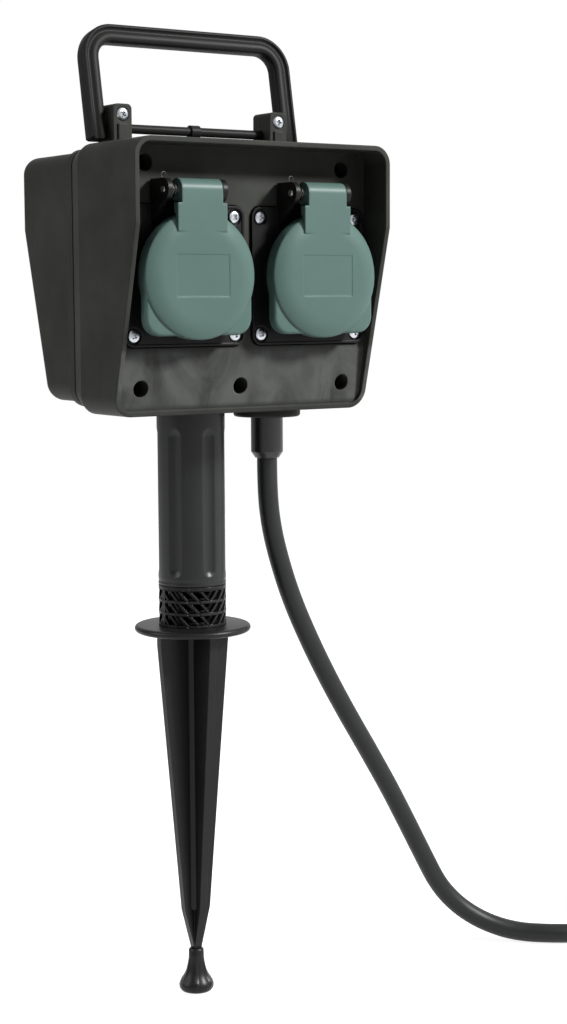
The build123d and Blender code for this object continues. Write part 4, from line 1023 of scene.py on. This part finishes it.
half_bar = handle_bar / 2
half_depth = handle_depth / 2
section = [
    (half_bar, -half_depth + 1.2 * mm),
    (half_bar, half_depth - 0.9 * mm),
    (half_bar - 0.25 * mm, half_depth - 0.28 * mm),
    (half_bar - 0.9 * mm, half_depth),
    (half_bar - 1.3 * mm, half_depth - 0.05 * mm),
    (half_bar - 1.8 * mm, half_depth - 0.75 * mm),
    (half_bar - 2.3 * mm, half_depth - 1.05 * mm),
    (half_bar - 3.0 * mm, half_depth - 1.0 * mm),
    (half_bar - 3.6 * mm, half_depth - 0.6 * mm),
    (half_bar - 4.2 * mm, half_depth - 0.35 * mm),
    (half_bar - 5.4 * mm, half_depth - 0.3 * mm),
    (-half_bar + 1.1 * mm, half_depth - 0.5 * mm),
    (-half_bar + 0.35 * mm, half_depth - 1.0 * mm),
    (-half_bar, half_depth - 1.9 * mm),
    (-half_bar, -half_depth + 1.2 * mm),
    (-half_bar + 0.35 * mm, -half_depth + 0.35 * mm),
    (-half_bar + 1.2 * mm, -half_depth),
    (half_bar - 1.2 * mm, -half_depth),
    (half_bar - 0.35 * mm, -half_depth + 0.35 * mm),
]
frame_rings = []
for place, away in frame_path:
    ring = []
    for across, proud in section:
        flat = place + away * across
        ring.append(
            handle_mesh.verts.new(
                rod_centre + Vector((flat.x, 0, 0)) + handle_up * flat.y + handle_front * proud
            )
        )
    frame_rings.append(ring)
for end_ring in (frame_rings[0], frame_rings[-1]):
    middle = sum((vertex.co for vertex in end_ring), Vector()) / len(end_ring)
    closing = [
        handle_mesh.verts.new(middle + (vertex.co - middle) * foot_narrowing)
        for vertex in end_ring
    ]
    for vertex in end_ring:
        vertex.co = vertex.co + handle_up * foot_bevel_height
    join_rings(handle_mesh, [end_ring, closing])
    handle_mesh.faces.new(closing)
join_rings(handle_mesh, frame_rings)
bmesh.ops.recalc_face_normals(handle_mesh, faces=handle_mesh.faces)
handle_piece = finish_piece("channelled_handle", handle_mesh, "handle", "handle_plastic", 40.0)
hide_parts("handle")


# Lids: the CAD solids with softer lobes, and the bare label field only just below the face.
# The lobe plate's sections are (Y, inset) pairs from its back to its front

lid_face_y = -60.1 * mm
label_half_width = 12.4 * mm
label_half_height = 8.5 * mm
label_depth = 0.1 * mm
cad_label_from = lid_face_y + 0.3 * mm
cad_label_to = lid_face_y + 0.8 * mm
disc_radius = 25.0 * mm
lobe_half = 24.3 * mm
lobe_foot = 23.4 * mm
lobe_corner = 7.0 * mm
lobe_front = -57.4 * mm
lobe_back = -52.8 * mm
corner_steps = 10
lobe_plate_top = -2 * mm
lobe_cut_gap = 0.04 * mm
lobe_cut_spread = 1.6
lobe_cut_back = -45 * mm
lobe_cut_reach = 20 * mm
lobe_cut_top = socket_level - 1 * mm
lobe_sections = [
    (lobe_back, 0.4 * mm),
    (lobe_back - 0.5 * mm, 0.0),
    (lobe_front + 1.4 * mm, 0.0),
    (lobe_front + 0.75 * mm, 0.14 * mm),
    (lobe_front + 0.3 * mm, 0.5 * mm),
    (lobe_front + 0.05 * mm, 1.0 * mm),
    (lobe_front, 1.6 * mm),
]


def without_lobes(node, centre_x):
    """The lid's mesh with the lobes below its disc cut away."""
    ring = solid_ring(
        disc_radius + lobe_cut_gap,
        disc_radius * lobe_cut_spread,
        lobe_cut_reach,
        (centre_x, lobe_cut_back, socket_level),
        (0, -1, 0),
        sides=96,
    )
    halved = bmesh.ops.bisect_plane(
        ring,
        geom=ring.verts[:] + ring.edges[:] + ring.faces[:],
        plane_co=(0, 0, lobe_cut_top),
        plane_no=(0, 0, 1),
        clear_outer=True,
    )
    rim = [part for part in halved["geom_cut"] if isinstance(part, bmesh.types.BMEdge)]
    bmesh.ops.holes_fill(ring, edges=rim)
    bmesh.ops.recalc_face_normals(ring, faces=ring.faces)
    return cut_away(node.data.copy(), ring)


def add_lobe_plate(mesh_builder, centre_x):
    """The soft-edged plate behind the disc, whose two lower corners stand out as lobes."""
    rings = []
    for y, inset in lobe_sections:
        half = lobe_half - inset
        foot = lobe_foot - inset
        corner = lobe_corner - inset
        spots = [(-half, lobe_plate_top)]
        for sign in (-1, 1):
            for step in range(corner_steps + 1):
                share = step / corner_steps if sign < 0 else 1 - step / corner_steps
                angle = pi / 2 * share
                spots.append(
                    (
                        sign * (half - corner + corner * cos(angle)),
                        corner - foot - corner * sin(angle),
                    )
                )
        spots.append((half, lobe_plate_top))
        rings.append(
            [mesh_builder.verts.new((centre_x + x, y, socket_level + z)) for x, z in spots]
        )
    join_rings(mesh_builder, rings)
    mesh_builder.faces.new(rings[0])
    mesh_builder.faces.new(reversed(rings[-1]))
    bmesh.ops.recalc_face_normals(mesh_builder, faces=mesh_builder.faces)


for side_name, centre_x in (("left", -socket_x), ("right", socket_x)):
    lid_mesh = without_lobes(nodes[f"lid_{side_name}"], centre_x)
    add_lobe_plate(lid_mesh, centre_x)
    for vertex in lid_mesh.verts:
        in_label = abs(vertex.co.x - centre_x) < label_half_width
        in_label = in_label and abs(vertex.co.z - socket_level) < label_half_height
        if in_label and cad_label_from < vertex.co.y < cad_label_to:
            vertex.co.y = lid_face_y + label_depth
    lid_piece = finish_piece(
        f"lid_with_label_field_{side_name}", lid_mesh, f"lid_{side_name}", "lid_plastic", 32.0
    )
    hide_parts(f"lid_{side_name}")


# Return springs: the wire's end stands above the ear in a small loop

hinge_y = -55.6 * mm
hinge_z = 184.2 * mm
ear_offset = 14.2 * mm
loop_radius = 1.2 * mm
loop_wire = 0.2 * mm
loop_steps = 8
loop_pitch = 0.06 * mm
loop_first_angle = radians(-60)
loop_turn = radians(300)
for side_name, centre_x in (("left", -socket_x), ("right", socket_x)):
    ear_middle = Vector((centre_x - ear_offset, hinge_y, hinge_z))
    loop_centre = ear_middle + Vector((0, 1.4 * mm, 5.6 * mm))
    loop_points = [ear_middle + Vector((1.6 * mm, 1.9 * mm, 1.8 * mm))]
    loop_points.append(ear_middle + Vector((1.4 * mm, 1.7 * mm, 4.0 * mm)))
    for step in range(loop_steps + 1):
        angle = loop_first_angle + loop_turn * step / loop_steps
        around = Vector((loop_radius * cos(angle), -loop_pitch * step, loop_radius * sin(angle)))
        loop_points.append(loop_centre + around)
    loop_points.append(ear_middle + Vector((-0.8 * mm, 0.9 * mm, 4.3 * mm)))
    loop = nurbs_curve(f"spring_loop_{side_name}", loop_points, loop_wire, resolution=8, bevel=4)
    loop.data.materials.append(looks["spring_wire"])
    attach(loop, "post")


# The cord

cord = nurbs_curve("rubber_cord", cord_points, cord_diameter / 2)
cord.data.materials.append(looks["cable_rubber"])
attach(cord, "post")
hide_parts("cable_lead", "cable_coil", "cable_tail")


# The plug: ribbed boot, gripped body and face

plug_neck = 9.0 * mm
plug_body_length = 35.0 * mm
plug_back_radius = 8.6 * mm
plug_neck_radius = 5.6 * mm
plug_front_length = 15.0 * mm
plug_start = tail[-1]
boot_rings = 4
boot_edge = 0.6 * mm
boot_groove = 0.8 * mm
shoulder_steps = 12
shoulder_straightness = 0.35
grip_groove = 0.5 * mm
grip_spacing = 3
rim_bevel = 1.2 * mm
face_rim = 3.0 * mm
face_slope = 0.3 * mm
face_sink = 0.4 * mm

plug_mesh = bmesh.new()
plug_profile = [(0.0, 0.0), (0.0, plug_neck_radius - boot_edge), (boot_edge, plug_neck_radius)]
ring_step = (plug_neck - 2 * boot_edge) / boot_rings
for ring in range(boot_rings):
    here = boot_edge + ring * ring_step
    swell = plug_neck_radius + (plug_back_radius - plug_neck_radius) * here / plug_neck
    plug_profile += [
        (here + ring_step * 0.55, swell + 0.1 * mm),
        (here + ring_step * 0.6, swell - boot_groove),
        (here + ring_step * 0.95, swell - boot_groove),
        (here + ring_step, swell + 0.35 * mm),
    ]
plug_profile.append((plug_neck, plug_back_radius))
shoulder_length = plug_body_length - plug_front_length
for step in range(1, shoulder_steps + 1):
    share = step / shoulder_steps
    swell = (1 - cos(pi * share)) / 2
    widening = shoulder_straightness * share + (1 - shoulder_straightness) * swell
    grooved = step % grip_spacing == 1 and step < shoulder_steps - 1
    reach = plug_back_radius + (plug_radius - plug_back_radius) * widening
    if grooved:
        reach -= grip_groove
    plug_profile.append((plug_neck + shoulder_length * share, reach))
plug_end = plug_neck + plug_body_length
plug_profile += [
    (plug_end - rim_bevel, plug_radius),
    (plug_end, plug_radius - rim_bevel),
    (plug_end, plug_radius - face_rim),
    (plug_end - face_sink, plug_radius - face_rim - face_slope),
    (plug_end - face_sink, 0.0),
]
lathe(plug_mesh, plug_profile, plug_start, tail_heading, sides=64)
plug_piece = finish_piece("plug_moulding", plug_mesh, "post", "plug_rubber", 40.0)
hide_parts("plug_body")


# Floor, background and light

def background_share(add, link):
    """One for rays from the camera, in reflections and through glass, else zero."""
    path = add("ShaderNodeLightPath")
    return greatest(
        add,
        link,
        path.outputs["Is Camera Ray"],
        path.outputs["Is Glossy Ray"],
        path.outputs["Is Transmission Ray"],
    )


def pale_stage(name, colour, glow):
    """A matt floor material: nearly white to the camera, and it still takes shadows."""
    material, shader, add, link = shader_tools(name)
    shader.inputs["Base Color"].default_value = (*colour, 1)
    shader.inputs["Roughness"].default_value = 0.9
    shader.inputs["Specular IOR Level"].default_value = 0.1
    strength = product(add, link, background_share(add, link), glow)
    shader.inputs["Emission Color"].default_value = (1, 1, 1, 1)
    link(strength, shader.inputs["Emission Strength"])
    return material


floor_reach = 1.6
floor_drop = 0.2 * mm
floor_mesh = bmesh.new()
bmesh.ops.create_grid(floor_mesh, x_segments=1, y_segments=1, size=floor_reach)
floor_data = bpy.data.meshes.new("floor")
floor_mesh.to_mesh(floor_data)
floor_mesh.free()
floor = bpy.data.objects.new("floor", floor_data)
floor.location = (0, 0, floor_level - floor_drop)
bpy.context.scene.collection.objects.link(floor)
floor_data.materials.append(pale_stage("pale_floor", (0.45, 0.45, 0.45), glow=0.88))

world = bpy.data.worlds.new("studio")
bpy.context.scene.world = world
world.use_nodes = True
world_tree = world.node_tree
world_tree.nodes.clear()


def world_node(kind, **values):
    """Adds a node to the world."""
    node = world_tree.nodes.new(kind)
    for key, value in values.items():
        setattr(node, key, value)
    return node


# A dim room lights the object, and a white backdrop shows to the camera and in reflections.
# The room and the reflections are dimmer on the side away from the key lamp, as with soft boxes.
# The camera sees the backdrop evenly white

room_strength = 0.27
dim_side = 0.34
dim_until = -0.7
full_from = 0.9
key_side = Vector((0.8, -0.35, 0.48)).normalized()
world_link = world_tree.links.new
outlook = world_node("ShaderNodeTexCoord")
toward_key = world_node("ShaderNodeVectorMath", operation="DOT_PRODUCT")
toward_key.inputs[1].default_value = key_side
world_link(outlook.outputs["Generated"], toward_key.inputs[0])
graded = world_node("ShaderNodeMapRange", interpolation_type="SMOOTHSTEP")
graded.inputs["From Min"].default_value = dim_until
graded.inputs["From Max"].default_value = full_from
graded.inputs["To Min"].default_value = dim_side
graded.inputs["To Max"].default_value = 1.0
world_link(toward_key.outputs["Value"], graded.inputs["Value"])
sight = world_node("ShaderNodeLightPath")

room_light = world_node("ShaderNodeBackground")
room_light.inputs["Color"].default_value = (0.93, 0.96, 1.0, 1)
room_level = product(world_node, world_link, graded.outputs["Result"], room_strength)
world_link(room_level, room_light.inputs["Strength"])
backdrop = world_node("ShaderNodeBackground")
backdrop.inputs["Color"].default_value = (1, 1, 1, 1)
backdrop_level = greatest(
    world_node,
    world_link,
    graded.outputs["Result"],
    sight.outputs["Is Camera Ray"],
    sight.outputs["Is Transmission Ray"],
)
world_link(backdrop_level, backdrop.inputs["Strength"])
either = world_node("ShaderNodeMixShader")
world_link(background_share(world_node, world_link), either.inputs["Fac"])
world_link(room_light.outputs[0], either.inputs[1])
world_link(backdrop.outputs[0], either.inputs[2])
world_link(either.outputs[0], world_node("ShaderNodeOutputWorld").inputs["Surface"])


def soft_lamp(name, place, aim, size, power):
    """A square studio lamp that faces a point."""
    data = bpy.data.lights.new(name, "AREA")
    data.size = size
    data.energy = power
    lamp = bpy.data.objects.new(name, data)
    direction = (Vector(aim) - Vector(place)).normalized()
    facing = direction.to_track_quat("-Z", "Y").to_matrix().to_4x4()
    lamp.matrix_world = Matrix.Translation(place) @ facing
    bpy.context.scene.collection.objects.link(lamp)


box_middle = (0, -0.02, 0.1)
key_place = (1.0, -1.3, 1.15)
rim_place = (-1.5, 0.45, 0.7)
soft_lamp("key_lamp", key_place, box_middle, size=0.28, power=58.0)
soft_lamp("rim_lamp", rim_place, box_middle, size=0.9, power=11.0)
